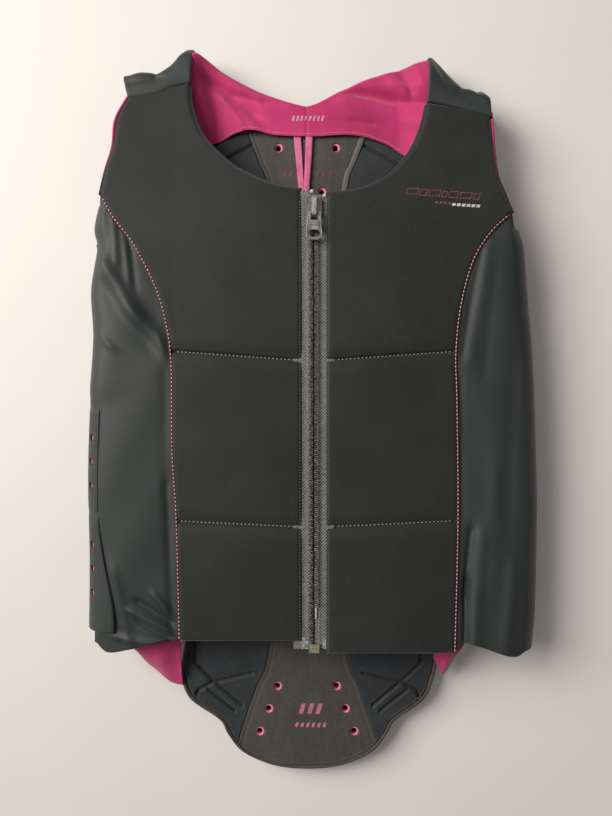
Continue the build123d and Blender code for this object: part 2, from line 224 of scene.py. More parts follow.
def smooth_line(points, places):
    """Catmull-Rom: a smooth line through points, read at places, its own length counted from 0 to 1."""
    points = np.asarray(points, float)
    ends = np.vstack([2 * points[0] - points[1], points, 2 * points[-1] - points[-2]])
    steps = np.linspace(0, len(points) - 1, 24 * (len(points) - 1) + 1)
    span = np.minimum(steps.astype(int), len(points) - 2)
    f = (steps - span)[:, None]
    a, b, c, d = (ends[span + k] for k in range(4))
    line = 0.5 * (2 * b + (c - a) * f + (2 * a - 5 * b + 4 * c - d) * f**2 + (3 * b - a - 3 * c + d) * f**3)
    run = np.r_[0, np.cumsum(np.linalg.norm(np.diff(line, axis=0), axis=1))]
    return np.stack([np.interp(np.asarray(places) * run[-1], run, part) for part in line.T], axis=1)


def steps_to_edges(count, crowd=0.85):
    """Numbers from 0 to 1 that stand closer together at both ends, for edges that roll over."""
    t = np.linspace(0, 1, count)
    return t - crowd * np.sin(2 * np.pi * t) / (2 * np.pi)


def between_lines(inner, outer, across):
    """Rows that run straight from one line to another, read at the given steps across."""
    across = np.asarray(across)[None, :, None]
    return inner[:, None, :] * (1 - across) + outer[:, None, :] * across


def build_mesh(name, points, quads, place=None):
    """Points in millimetres and quads, made a mesh object that stores the cloth's own coordinates."""
    mesh = bpy.data.meshes.new(name)
    mesh.from_pydata((points * MM).tolist(), [], quads.tolist())
    mesh.polygons.foreach_set("use_smooth", np.ones(len(mesh.polygons), bool))
    stored = mesh.attributes.new("cloth_place", "FLOAT_VECTOR", "POINT")
    stored.data.foreach_set("vector", ((points if place is None else place) * MM).astype(np.float32).ravel())
    made = bpy.data.objects.new(name, mesh)
    bpy.context.collection.objects.link(made)
    return made


def grid_quads(rows, columns, join_rows=False, join_columns=False):
    """Quads of a grid of points; a joined direction runs on from its last line to its first."""
    index = np.arange(rows * columns).reshape(rows, columns)
    index = np.vstack([index, index[:1]]) if join_rows else index
    index = np.hstack([index, index[:, :1]]) if join_columns else index
    corners = [index[:-1, :-1], index[:-1, 1:], index[1:, 1:], index[1:, :-1]]
    return np.stack(corners, axis=-1).reshape(-1, 4)


def close_up(made, distance=0.00002):
    """Merges the points that meet and turns every face outwards."""
    work = bmesh.new()
    work.from_mesh(made.data)
    bmesh.ops.remove_doubles(work, verts=work.verts, dist=distance)
    bmesh.ops.dissolve_degenerate(work, edges=work.edges, dist=distance / 10)
    bmesh.ops.recalc_face_normals(work, faces=work.faces)
    work.to_mesh(made.data)
    work.free()
    return made


def rolled(steps, length, radius):
    """Quarter-round profile: 0 at both ends of a length, 1 once a radius away from them."""
    near = np.minimum(steps, 1 - steps) * length
    return np.sqrt(1 - (1 - np.clip(near / radius, 0, 1)) ** 2)


def pad_shape(name, top, under):
    """Closed form of a layer: the upper grid, the lower grid, and a strip that joins them all round."""
    rows, columns = top.shape[:2]
    index = np.arange(rows * columns).reshape(rows, columns)
    rim = np.concatenate([index[0, :-1], index[:-1, -1], index[-1, :0:-1], index[:0:-1, 0]])
    after, below = np.roll(rim, -1), index.size
    wall = np.stack([rim, after, after + below, rim + below], axis=1)
    faces = grid_quads(rows, columns)
    points = np.vstack([top.reshape(-1, 3), under.reshape(-1, 3)])
    return close_up(build_mesh(name, points, np.vstack([faces, faces + below, wall])))


def sheet_shape(name, top, thick):
    """Closed thin cloth: the grid and the same grid a thickness below it, with rounded edges."""
    rows, columns = top.shape[:2]
    edge = np.minimum.outer(*(rolled(np.linspace(0, 1, count), count, 1.5) for count in (rows, columns)))
    across, along = np.gradient(top, axis=1), np.gradient(top, axis=0)
    normal = np.cross(across, along)
    normal /= np.maximum(np.linalg.norm(normal, axis=2, keepdims=True), 1e-9)
    normal *= np.sign(normal[..., 2:].sum() + 1e-9)
    return pad_shape(name, top, top - normal * (thick * edge)[..., None])


def front_height(x, y):
    """Outer face of the fronts: level over the body, then falling smoothly to the shoulders."""
    past = y - SHOULDER_START
    return front_top - 0.5 - SHOULDER_FALL * (past + np.sqrt(past**2 + SHOULDER_EASE**2))


def groove(distance, deep, wide):
    """A sewn line: a narrow crease in the middle of a broad soft dip."""
    return deep * (0.62 * np.exp(-((distance / wide) ** 2)) + 0.38 * np.exp(-((distance / (5 * wide)) ** 2)))


def channel_station(which, x):
    """Where a sewn channel crosses, at a distance from the zip."""
    at_zip, at_seam = CHANNELS[which]
    return at_zip + (at_seam - at_zip) * (np.abs(x) - zip_edge) / (CHANNEL_END - zip_edge)


def front_relief(x, y, side):
    """Crowned pads between the channels, with the slack and print-through that bonded foam has."""
    depth = sum(groove(y - channel_station(which, x), CHANNEL_DEEP, CHANNEL_WIDE) for which in CHANNELS)
    crown = CROWN * np.clip(1 - ((np.abs(x) - CROWN_MIDDLE) / CROWN_HALF) ** 2, 0, 1)
    sway = 0.35 * np.sin(x / 23.0 + y / 61.0) * np.sin(y / 37.0 - SIDES[side])
    return crown + sway - depth


def front_rows(side, count_low=300, count_high=86):
    """Inner and outer edges of a front: zip edge then neckline, side seam then armhole. Rows stand
    closer together at the sewn channels."""
    hem, corner = SIDE_SEAM[side][0][1], NECKLINE[side][0]
    even, high = np.linspace(0, 1, 900), steps_to_edges(count_high, 0.5)[1:]
    station = hem + (corner[1] - hem) * even
    crowd = 1 + sum(2.6 * np.exp(-(((station - np.mean(CHANNELS[which])) / 8.0) ** 2)) for which in CHANNELS)
    filled = np.cumsum(crowd) - crowd[0]
    low = np.interp(np.linspace(0, filled[-1], count_low), filled, even)
    inner = np.vstack([smooth_line([(zip_edge, hem), corner], low), smooth_line(NECKLINE[side], high)])
    outer = np.vstack([smooth_line(SIDE_SEAM[side], low), smooth_line(ARMHOLE[side], high)])
    return inner, outer


def front_grid(side, columns, inset=0.0):
    """Plan of a front on a grid, and how far each point is rolled at the edges."""
    inner, outer = front_rows(side)
    across = steps_to_edges(columns)
    plan = between_lines(inner, outer, across)
    width = np.linalg.norm(outer - inner, axis=1)
    along = np.r_[0, np.cumsum(np.linalg.norm(np.diff(plan[:, columns // 2], axis=0), axis=1))]
    edge_in = np.stack([rolled(across, w, 5.0) for w in width])
    edge_along = rolled(along / along[-1], along[-1], 4.0)[:, None]
    if inset:
        middle = plan.mean(axis=1, keepdims=True)
        plan = middle + (plan - middle) * (1 - inset / np.maximum(width, 1)[:, None, None])
    return plan * [SIDES[side], 1], np.minimum(edge_in, edge_along)


def knit_cloth(place):
    """Charcoal knit: fine crossing loops, worn a little paler in soft patches, with specks of lint."""
    loops = place.stretched(1.0, 1.35, 1.0).ribs(260.0) * place.ribs(340.0, "Y")
    patch = place.noise(14.0, 4.0, 0.6)
    fuzz = place.noise(520.0, 4.0, 0.75)
    shade = (patch * 0.55 + fuzz * 0.75 + loops * 0.08).between(0.40, 1.0)
    colour = shade.tint(rgb(0.0100, 0.0108, 0.0104), rgb(0.0300, 0.0316, 0.0303))
    return {"Base Color": colour, "Height": loops * 0.3 + fuzz * 1.1, "Roughness": fuzz * 0.14 + 0.60}


def fit(made, material, covers=(), body="back", bends=None):
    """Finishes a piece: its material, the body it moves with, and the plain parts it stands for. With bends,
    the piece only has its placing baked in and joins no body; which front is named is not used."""
    made.data.materials.append(material)
    if bends:
        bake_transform(made)
    else:
        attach(made, body)
    if covers:
        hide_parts(*covers)


knit = finish(
    "front_knit", knit_cloth, 0.00012, Sheen_Weight=0.22, Sheen_Roughness=0.45, Specular_IOR_Level=0.25
)
front_parts = ["front_shell", "chest_pad", "rib_pad", "belly_pad", "strap_shell", "strap_pad"]
for side in SIDES:
    plan, edge = front_grid(side, 84)
    x, y = plan[..., 0], plan[..., 1]
    upper = front_height(x, y) + front_relief(x, y, side) * edge - 2.6 * (1 - edge)
    top = np.dstack([x, y, upper])
    under = np.dstack([x, y, upper - PAD_DEPTH * edge])
    panel = pad_shape(f"front_panel_{side}", top, under)
    fit(panel, knit, [f"{node}_{side}" for node in front_parts], bends=side)

# ---- Front linings ------------------------------------------------------------------------------
# A magenta lining is sewn behind each front, edge to edge with it. It shows when a front is open.


def lining_cloth(place):
    """Magenta jersey: fine ribs along the cloth, darker and paler in soft patches, with a slight bloom."""
    ribs = place.ribs(420.0) * 0.5 + place.ribs(300.0, "Y") * 0.5
    patch = place.noise(22.0, 4.0, 0.55)
    shade = (patch + ribs * 0.25).between(0.30, 0.85)
    colour = shade.tint(rgb(0.36, 0.0135, 0.084), rgb(0.58, 0.034, 0.165))
    return {"Base Color": colour, "Height": ribs + place.noise(800.0) * 0.6}


lining = finish(
    "magenta_lining", lining_cloth, 0.00008, Roughness=0.72, Sheen_Weight=0.25, Specular_IOR_Level=0.3
)
for side in SIDES:
    plan, edge = front_grid(side, 44, inset=5.0)
    plan, edge = plan[2:-2:2], edge[2:-2:2]
    x, y = plan[..., 0], plan[..., 1]
    upper = front_height(x, y) + front_relief(x, y, side) - PAD_DEPTH - 0.9 + 2.0 * (1 - edge)
    liner = sheet_shape(f"front_lining_{side}_cloth", np.dstack([x, y, upper]), 0.9)
    fit(liner, lining, [f"front_lining_{side}", f"strap_lining_{side}"], bends=side)

# ---- Neck edges ---------------------------------------------------------------------------------
# The neckline of each front is turned over a thin cord and stitched down, so it reads as a soft roll.


def tube_shape(name, path, radius, sides, flat=1.0):
    """A round or flattened tube along a path: a ring at each point, square to the path there."""
    path = np.asarray(path, float)
    ahead = np.gradient(path, axis=0)
    ahead /= np.linalg.norm(ahead, axis=1, keepdims=True)
    side_way = np.cross(ahead, [0, 0, 1.0])
    side_way /= np.maximum(np.linalg.norm(side_way, axis=1, keepdims=True), 1e-9)
    up_way = np.cross(side_way, ahead)
    turn = np.linspace(0, 2 * np.pi, sides, endpoint=False)[None, :, None]
    ring = path[:, None] + radius * (np.cos(turn) * side_way[:, None] + flat * np.sin(turn) * up_way[:, None])
    k = np.arange(sides // 2 - 1)
    cap = np.stack([k, k + 1, sides - k - 2, sides - k - 1], axis=1)
    quads = np.vstack([grid_quads(len(path), sides, join_columns=True), cap, cap + (len(path) - 1) * sides])
    return close_up(build_mesh(name, ring.reshape(-1, 3), quads))


def edge_cloth(place):
    """Folded knit at an edge: the front's cloth, pulled smooth and a shade darker."""
    fuzz = place.noise(700.0, 3.0, 0.7)
    return {"Base Color": fuzz.tint(rgb(0.011, 0.012, 0.012), rgb(0.026, 0.027, 0.026)), "Height": fuzz}


folded_edge = finish("folded_edge", edge_cloth, 0.0001, Roughness=0.85, Sheen_Weight=0.2)
for side, sign in SIDES.items():
    line = smooth_line(NECKLINE[side], np.linspace(0.0, 0.985, 90)) * [sign, 1]
    drop = 2.4 + 1.6 * np.linspace(0, 1, 90) ** 2
    path = np.column_stack([line, front_height(line[:, 0], line[:, 1]) - drop])
    roll = tube_shape(f"neck_roll_{side}", path, 1.9, 12, flat=1.15)
    fit(roll, folded_edge, [f"neck_binding_{side}"], bends=side)

# ---- Wings --------------------------------------------------------------------------------------
# A foam wing on each side of the plate turns up round the ribs: outer cloth, thin pink foam, thick
# foam and lining, glued together. Six vents go through it. The left free edge curls further over
# low down, and stops short higher up, where the side panel laps over it.
CURL_RADIUS = CURL_Z = 31.0
WING_START, WING_LOW, WING_HIGH = 129.0, -226.0, 176.0
WING_HOLES = [-21, -44, -67, -124, -147, -170]
WING_HOLE_ANGLE = {"left": 42.0, "right": 15.0}
LAP_START, LAP_RUN = 4.0, 26.0  # above this station the side panel crosses over the left lip
WING_LAYERS = {
    "wing_shell": (0.0, 2.0),
    "wing_pink_layer": (2.0, 3.5),
    "wing_foam": (3.5, 10.5),
    "wing_lining": (10.5, 11.5),
}
RIM = {
    "left": [
        (222, -226), (221.5, -140), (223, -60), (221, 10), (217, 75), (219, 122), (213, 163),
        (216, 184), (209, 216),
    ],
    "right": [
        (214.5, -233), (218, -181), (219.5, -81), (217, 11), (214, 73), (211, 108), (208, 150),
        (206, 168), (199, 190),
    ],
}
FLAT_SHARE = 0.3  # of a wing's width lies flat beside the plate, the rest is curled
LINER_SHORT = 4  # degrees that the inner layers stop short of the outer cloth


def ease(value):
    """0 below 0, 1 above 1, with a smooth start and end."""
    value = np.clip(value, 0, 1)
    return value * value * (3 - 2 * value)


def rim_x(side, y):
    """How far out the turned-up edge stands at a station."""
    line = smooth_line(RIM[side], np.linspace(0, 1, 200))
    return np.interp(y, line[:, 1], line[:, 0])


def wing_end(side, y):
    """Angle round the curl where the free edge stops: more on the lower left, where the seam runs in."""
    if side == "right":
        return np.full(np.shape(y), 24.0)
    return 62.0 + 32.0 * ease((-92 - y) / 125) - 50.0 * ease((y - LAP_START) / LAP_RUN)


def wing_grid(side, depth, shorter, rows, across=62):
    """A layer's face at a depth: flat beside the plate, then an arc. Rows run along the body."""
    y = np.linspace(WING_LOW, WING_HIGH, rows)[:, None]
    centre = rim_x(side, y) - CURL_RADIUS
    step = np.linspace(0, 1, across)[None, :]
    last = wing_end(side, y) - shorter
    angle = np.radians(-90 + (last + 90) * np.clip((step - FLAT_SHARE) / (1 - FLAT_SHARE), 0, 1))
    radius = CURL_RADIUS - depth
    flat = WING_START + (centre - WING_START) * np.clip(step / FLAT_SHARE, 0, 1)
    x = np.where(step < FLAT_SHARE, flat, centre + radius * np.cos(angle))
    z = np.where(step < FLAT_SHARE, depth, CURL_Z + radius * np.sin(angle))
    degrees, along = np.degrees(angle), (y - WING_LOW) / (WING_HIGH - WING_LOW)
    crease = sum(np.exp(-(((y - at) / 3.0) ** 2)) for at in (9, -94)) * ease((degrees - 5) / 30)
    inward = 1.3 * crease * (depth < 3)
    raised_hem = 20.0 * ease((degrees + 70) / 95) * np.clip(1 - along * 3, 0, 1) ** 2
    sloped_top = 16 * ease((degrees + 20) / 60) * np.clip(along * 5 - 4, 0, 1)
    y = y + raised_hem - sloped_top
    return np.dstack([SIDES[side] * (x - inward * np.cos(angle)), y, z - inward * np.sin(angle)])


def rods(name, starts, ends, profile, sides=8):
    """Many short round bars at once. The profile lists (place from start to end, radius) of each ring."""
    starts, ends = np.asarray(starts, float), np.asarray(ends, float)
    axis = ends - starts
    ahead = axis / np.linalg.norm(axis, axis=1, keepdims=True)
    helper = np.where(np.abs(ahead[:, 2:]) > 0.8, [[1.0, 0, 0]], [[0, 0, 1.0]])
    first = np.cross(ahead, helper)
    first /= np.linalg.norm(first, axis=1, keepdims=True)
    second = np.cross(ahead, first)
    place, radius = np.array(profile, float).T[:, None, :, None, None]
    turn = np.linspace(0, 2 * np.pi, sides, endpoint=False)[None, None, :, None]
    middle = starts[:, None, None] + axis[:, None, None] * place
    ring = middle + radius * (np.cos(turn) * first[:, None, None] + np.sin(turn) * second[:, None, None])
    quads = grid_quads(len(profile), sides, join_columns=True)
    shift = (np.arange(len(starts)) * len(profile) * sides)[:, None, None]
    return close_up(build_mesh(name, ring.reshape(-1, 3), (quads[None] + shift).reshape(-1, 4)), 0.000004)


def pierced(made, cutter):
    """Cuts a closed shape out of a piece, and throws that shape away."""
    cut = made.modifiers.new("cut", "BOOLEAN")
    cut.object, cut.solver = cutter, "EXACT"
    graph = bpy.context.evaluated_depsgraph_get()
    result = bpy.data.meshes.new_from_object(made.evaluated_get(graph))
    made.modifiers.clear()
    made.data = result
    bpy.data.objects.remove(cutter)
    return made


def stretch_cloth(place):
    """Smooth two-way stretch cloth: very fine wales, a soft sheen and slow changes of shade."""
    wales = place.ribs(520.0) * 0.5 + place.ribs(430.0, "Y") * 0.5
    patch, fuzz = place.noise(7.0, 3.0, 0.55), place.noise(1000.0, 2.0, 0.6)
    shade = (patch * 0.8 + fuzz * 0.35 + wales * 0.15).between(0.35, 1.0)
    colour = shade.tint(rgb(0.0100, 0.0142, 0.0134), rgb(0.0285, 0.0348, 0.0318))
    return {"Base Color": colour, "Height": wales + fuzz * 0.5, "Roughness": fuzz * 0.16 + 0.50}


def foam_skin(place):
    """Closed-cell foam: fine pores and a faint skin."""
    pores = place.cells(900.0)
    colour = place.noise(40.0).tint(rgb(0.030, 0.032, 0.035), rgb(0.060, 0.062, 0.066))
    return {"Base Color": colour, "Height": pores}


def pink_foam_skin(place):
    """Thin magenta foam: pores and slight fading."""
    pores = place.cells(1100.0)
    colour = place.noise(60.0).tint(rgb(0.62, 0.045, 0.20), rgb(0.86, 0.16, 0.38))
    return {"Base Color": colour, "Height": pores}


wing_finishes = {
    "wing_shell": finish(
        "wing_cloth", stretch_cloth, 0.00007, False, Sheen_Weight=0.18, Sheen_Roughness=0.35
    ),
    "wing_pink_layer": finish("pink_foam", pink_foam_skin, 0.0001, False, Roughness=0.8),
    "wing_foam": finish("soft_foam", foam_skin, 0.00015, False, Roughness=0.85),
    "wing_lining": finish("wing_lining", lining_cloth, 0.00008, False, Roughness=0.72, Sheen_Weight=0.25),
}
stations = np.array(WING_HOLES, float)
for side, sign in SIDES.items():
    for layer, (outside, inside) in WING_LAYERS.items():
        shorter, rows, bore = (0, 200, 3.5) if layer == "wing_shell" else (LINER_SHORT, 60, 2.0)
        outer, inner = (wing_grid(side, depth, shorter, rows) for depth in (outside, inside))
        wing = pad_shape(f"{layer}_{side}_cover", inner, outer)
        radians = math.radians(WING_HOLE_ANGLE[side])
        ray = np.array([sign * math.cos(radians), 0, math.sin(radians)])
        centre = np.column_stack([sign * (rim_x(side, stations) - CURL_RADIUS), stations, np.full(6, CURL_Z)])
        profile = [(0, 0), (0, bore), (1, bore), (1, 0)]
        cutter = rods("cutter", centre + ray * 12, centre + ray * 40, profile, 24)
        pierced(wing, cutter)
        fit(wing, wing_finishes[layer], [f"{layer}_{side}"])

# ---- Side panels --------------------------------------------------------------------------------
# Stretch cloth joins each front to its wing, cut with slack, so it lies in soft folds. Under the arm
# it runs right round to the back yoke. Its magenta lining hangs just inside it.
SIDE_TOP = {"left": 204.0, "right": 180.0}
ARC_REACH = {"left": (50.0, -8.0), "right": (17.0, 17.0)}  # angle round the curl where it ends, low and high
TUCK = {"left": (-0.9, 0.9), "right": (0.9, 0.9)}  # under the wing's lip on the lower left, else over it
UNDER_ARM, ARM_RUN = 150, 26  # from this station up the panel goes right under the arm
HEM_WAVE = {
    "left": [(0.0, 0.0), (0.25, 2.2), (0.55, 0.0), (0.85, -0.9), (1.0, 9.0)],
    "right": [(0.0, 0.0), (0.12, 10.0), (0.3, 10.5), (0.6, 5.5), (0.85, 3.0), (1.0, 8.0)],
}
FOLDS = {  # start, end, half-width, height; a negative height is a crease
    "left": [
        ((-198, 140), (-172, 98), 8, 4.4), ((-172, 98), (-143, 66), 8, 3.8),
        ((-192, 116), (-158, 74), 9, -2.6),
        ((-206, 78), (-193, 66), 3.5, 1.4), ((-183, 196), (-176, 132), 3.6, 1.1),
        ((-192, 200), (-188, 150), 3.4, 1.1), ((-178, 180), (-170, 124), 3.4, -0.9),
        ((-150, -172), (-134, -190), 3.4, 2.4), ((-166, -178), (-138, -196), 3.0, -2.6),
        ((-172, -186), (-137, -205), 3.0, 2.6), ((-164, -197), (-139, -212), 2.6, -2.6),
        ((-186, -210), (-150, -217), 3.2, 2.2), ((-190, -150), (-176, -212), 5.0, 1.8),
        ((-139, -70), (-133, -200), 5.0, -2.2), ((-140, 40), (-137, -60), 6.0, -1.0),
    ],
    "right": [
        ((150, -112), (144, -172), 3.6, -2.6), ((145, -160), (144, -216), 3.2, -4.2),
        ((158, -120), (152, -214), 7.0, 2.4), ((141, 60), (158, 152), 4.0, -1.2),
        ((150, 58), (166, 160), 6.0, 0.9), ((162, 40), (172, 130), 5.0, -0.5),
        ((184, -80), (192, 60), 9.0, -1.1), ((172, -60), (168, -160), 9.0, 1.4),
        ((138, 30), (139, -90), 4.0, -1.6), ((188, -150), (182, -216), 7.0, 1.8),
    ],
}


def fold(x, y, start, end, width, height):
    """A soft ridge along a straight run in plan: a bell across it, fading out past both ends."""
    run = np.subtract(end, start)
    length = np.hypot(*run)
    along = ((x - start[0]) * run[0] + (y - start[1]) * run[1]) / length
    across = ((x - start[0]) * run[1] - (y - start[1]) * run[0]) / length
    past = np.maximum(np.maximum(-along, along - length), 0)
    return height * np.exp(-((across / width) ** 2) - (past / (2.2 * width)) ** 2)


def side_grid(side, depth, rows, plan_count=66, arc_count=26):
    """Rows up the side: a Bezier curve from the seam to the curl, then an arc round it. The arc stops
    at the wing, or goes right under the arm."""
    sign = SIDES[side]
    v = np.linspace(0, 1, rows)[:, None]
    seam_x, seam_y = smooth_line(SIDE_SEAM[side], v[:, 0]).T[:, :, None]
    rim_y = RIM[side][0][1] + (SIDE_TOP[side] - RIM[side][0][1]) * v
    centre = rim_x(side, rim_y) - CURL_RADIUS
    first = np.minimum(math.radians(56), np.arccos(np.clip((seam_x + 3 - centre) / CURL_RADIUS, -1, 0.999)))
    under_arm = ease((rim_y - UNDER_ARM) / ARM_RUN)
    lap = ease((rim_y - LAP_START) / LAP_RUN)
    reach, tuck = (low + (high - low) * lap for low, high in (ARC_REACH[side], TUCK[side]))
    last = np.radians(reach) * (1 - under_arm) - math.radians(92) * under_arm
    radius = CURL_RADIUS + tuck * (1 - under_arm) + 0.6 * under_arm - depth
    start = (seam_x, front_height(seam_x, seam_y) - 3.0 - depth)
    end = (centre + radius * np.cos(first), CURL_Z + radius * np.sin(first))
    width = end[0] - start[0]
    pull = np.minimum(11.0, 0.3 * width)
    t = np.linspace(0, 1, plan_count, endpoint=False)[None, :]
    knots = [start, (start[0] + 0.3 * width, start[1] + np.minimum(2.8, 0.1 * width))]
    knots += [(end[0] - pull * np.sin(first), end[1] + pull * np.cos(first)), end]
    weights = [(1 - t) ** 3, 3 * t * (1 - t) ** 2, 3 * t**2 * (1 - t), t**3]
    x, z = (sum(w * knot[axis] for w, knot in zip(weights, knots)) for axis in (0, 1))
    angle = first + (last - first) * np.linspace(0, 1, arc_count)[None, :]
    x, z = np.hstack([x, centre + radius * np.cos(angle)]), np.hstack([z, CURL_Z + radius * np.sin(angle)])
    share = np.clip((x - seam_x) / width, 0, 1)
    share = np.where(np.arange(x.shape[1]) >= plan_count, 1.0, share)
    y = seam_y + (rim_y - seam_y) * share
    wave = smooth_line(HEM_WAVE[side], np.linspace(0, 1, 120))
    y = y + np.interp(share, wave[:, 0], wave[:, 1]) * np.clip(1 - 5 * v, 0, 1) ** 2
    loose = np.minimum(ease(share * 7), ease((1.12 - share) * 5))
    relief = sum(fold(sign * x, y, *one) for one in FOLDS[side])
    sway = 0.8 * np.sin(x / 13.0 + y / 47.0) * np.sin(y / 31.0 + x / 60.0)
    off_table = ease((z - 8) / 24)
    return np.dstack([sign * x, y, np.maximum(z + (relief + sway) * loose * off_table, 0.3)])


stretch = finish("stretch_cloth", stretch_cloth, 0.00007, Sheen_Weight=0.18, Sheen_Roughness=0.35)
for side in SIDES:
    panel = sheet_shape(f"side_panel_{side}_cloth", side_grid(side, 0.0, 300), 1.2)
    fit(panel, stretch, [f"side_panel_{side}"], bends=side)
    inside_it = side_grid(side, 2.4, 110)[3:-3, 1:66]
    liner = sheet_shape(f"side_lining_{side}_cloth", inside_it, 0.8)
    fit(liner, lining, [f"side_lining_{side}"], bends=side)

# ---- Back plate ---------------------------------------------------------------------------------
# The protector under the spine is a laminate: outer cloth embossed in hexagons, thin magenta foam,
# a thick foam core and magenta foam again, pressed together and pierced by vents.
SPINE_X, PLATE_HALF, PLATE_TOP, TAIL_CORNER, TAIL_FOOT = -6.0, 128.0, 296.0, -230.0, -358
TAIL = [(0, TAIL_FOOT), (34, -354), (64, -341), (79, -324), (88, -309), (118, -287), (128, -262)]
PANEL_HOLES = [(29, 272), (15, 227), (30, -275), (39, -298), (48, -321)]  # each has its twin across the spine
HEXAGON = 44.0


def plate_outline(side, tail_steps=70, straight_steps=170):
    """One edge of the plate, from the tip of the tail round its curve and straight up to the neck."""
    whole = [(-x, y) for x, y in TAIL[:0:-1]] + TAIL
    tail = smooth_line(whole, np.linspace(0.5, 1, tail_steps)) * [SIDES[side], 1] + [SPINE_X, 0]
    corner, end = (np.array([SIDES[side] * PLATE_HALF, y]) for y in (TAIL_CORNER, PLATE_TOP))
    turn = tail[-1] + (corner - tail[-1]) * np.linspace(0, 1, 8)[1:, None]
    return np.vstack([tail, turn, corner + (end - corner) * np.linspace(0, 1, straight_steps)[1:, None]])


def hexagon_lines(x, y, pitch):
    """Distance to the nearest side of a honeycomb: half a pitch less the hexagonal distance to a centre."""
    tall = pitch * math.sqrt(3)
    reach = []
    for shift in (0, 1):
        across = np.abs(np.mod(x - shift * pitch / 2, pitch) - pitch / 2)
        along = np.abs(np.mod(y - shift * tall / 2, tall) - tall / 2)
        reach.append(np.maximum(across, across / 2 + along * math.sqrt(0.75)))
    return pitch / 2 - np.minimum(*reach)


def vent_cutter(diameter):
    """Upright bars where the holes go."""
    low, high = (np.column_stack([vent_spots, np.full(len(vent_spots), z)]) for z in (-10.0, 40.0))
    radius = diameter / 2
    return rods("cutter", low, high, [(0, 0), (0, radius), (1, radius), (1, 0)], 30)


vent_spots = np.array([(SPINE_X + sign * half, y) for half, y in PANEL_HOLES for sign in (-1, 1)])
sides_of_plate = [plate_outline(side) for side in SIDES]
steps = steps_to_edges(150, 0.6)
plan = between_lines(*sides_of_plate, steps)
x, y = plan[..., 0], plan[..., 1]
plate_width = np.linalg.norm(sides_of_plate[1] - sides_of_plate[0], axis=1)
from_ends = ease(np.minimum((y - TAIL_FOOT) / 7, (PLATE_TOP - y) / 7))
edge = np.minimum(np.stack([rolled(steps, max(w, 1), 7.0) for w in plate_width]), from_ends)
pressed = 1.0 * np.exp(-((hexagon_lines(x - SPINE_X, y, HEXAGON) / 1.5) ** 2))
under = np.dstack([x, y, 0.05 + pressed * edge + 1.9 * (1 - edge)])
back_shell = pad_shape("outer_back_cover", np.dstack([x, y, np.full(x.shape, 2.0)]), under)
pierced(back_shell, vent_cutter(6.5))
fit(back_shell, wing_finishes["wing_shell"], ["outer_back_shell"])


def give(material, *nodes):
    """Puts a finish on CAD parts whose shape is already right."""
    for node in nodes:
        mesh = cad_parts[node].data
        mesh.materials.clear()
        mesh.materials.append(material)


give(wing_finishes["wing_pink_layer"], "outer_pink_layer", "inner_pink_layer")
give(wing_finishes["wing_foam"], "core_foam")

# ---- Cell pads ----------------------------------------------------------------------------------
# Blue-black foam fields lie each side of the spine panel. Hot pressing leaves narrow grooves in them
# that cross in an X below each hexagonal cell. They are glued to the laminate.
SPINE_HALF = [
    (74, -358), (70, -328), (54, -280), (39, -232), (33, -60), (34, 120), (41, 229), (50, 258), (62, 290),
]
CELL_STATIONS = [-271 + 105 * k for k in range(6)]
CELL_LOW, CELL_HIGH, CELL_BASE, CELL_TOP = -337.0, 288.0, 15.6, 19.2


def spine_edge(y):
    """Half width of the hourglass panel at a station."""
    line = smooth_line(SPINE_HALF, np.linspace(0, 1, 300))
    return np.interp(y, line[:, 1], line[:, 0])


def line_distance(x, y, line):
    """Distance in plan to the nearest of a run of straight lines."""
    nearest = np.full(np.shape(x), 1e6)
    for (x0, y0), (x1, y1) in zip(line[:-1], line[1:]):
        run = (x1 - x0, y1 - y0)
        t = np.clip(((x - x0) * run[0] + (y - y0) * run[1]) / (run[0] ** 2 + run[1] ** 2), 0, 1)
        nearest = np.minimum(nearest, np.hypot(x - x0 - t * run[0], y - y0 - t * run[1]))
    return nearest


def cell_lines(half, y):
    """Distance to the pressed grooves, at a distance from the spine."""
    nearest = np.full(np.shape(half), 1e6)
    for station in CELL_STATIONS:
        lift = 21 if station == CELL_STATIONS[-1] else 9
        cell = [(115, station + 86), (115, station + 19), (95, station), (66, station - 24)]
        across = [(56, station + lift), (95, station), (111, station - 8), (115, station - 19)]
        double = [(101, station - 8), (74, station - 29)]
        for line in (cell, across, double):
            nearest = np.minimum(nearest, line_distance(half, y, line))
    return nearest


def cell_skin(place):
    """Blue-black pressed foam with fine pores and a dull bloom; painted shade darkens the pressed grooves and
    the pads' rolled edges to near black.
    """
    pores, patch = place.cells(700.0), place.noise(16.0, 4.0)
    # painted shade: the lower a point lies below the pad's top, the darker its colour
    depth_shading = place.node("SeparateXYZ", {"Vector": place}, output=2).between(0.0162, 0.0186)
    shade = (patch + pores * 0.3).between(0.35, 0.9) * (depth_shading * 0.9 + 0.1)
    colour = shade.tint(rgb(0.0040, 0.0052, 0.0064), rgb(0.0250, 0.0310, 0.0360))
    return {"Base Color": colour, "Height": pores + place.noise(1200.0) * 0.5}


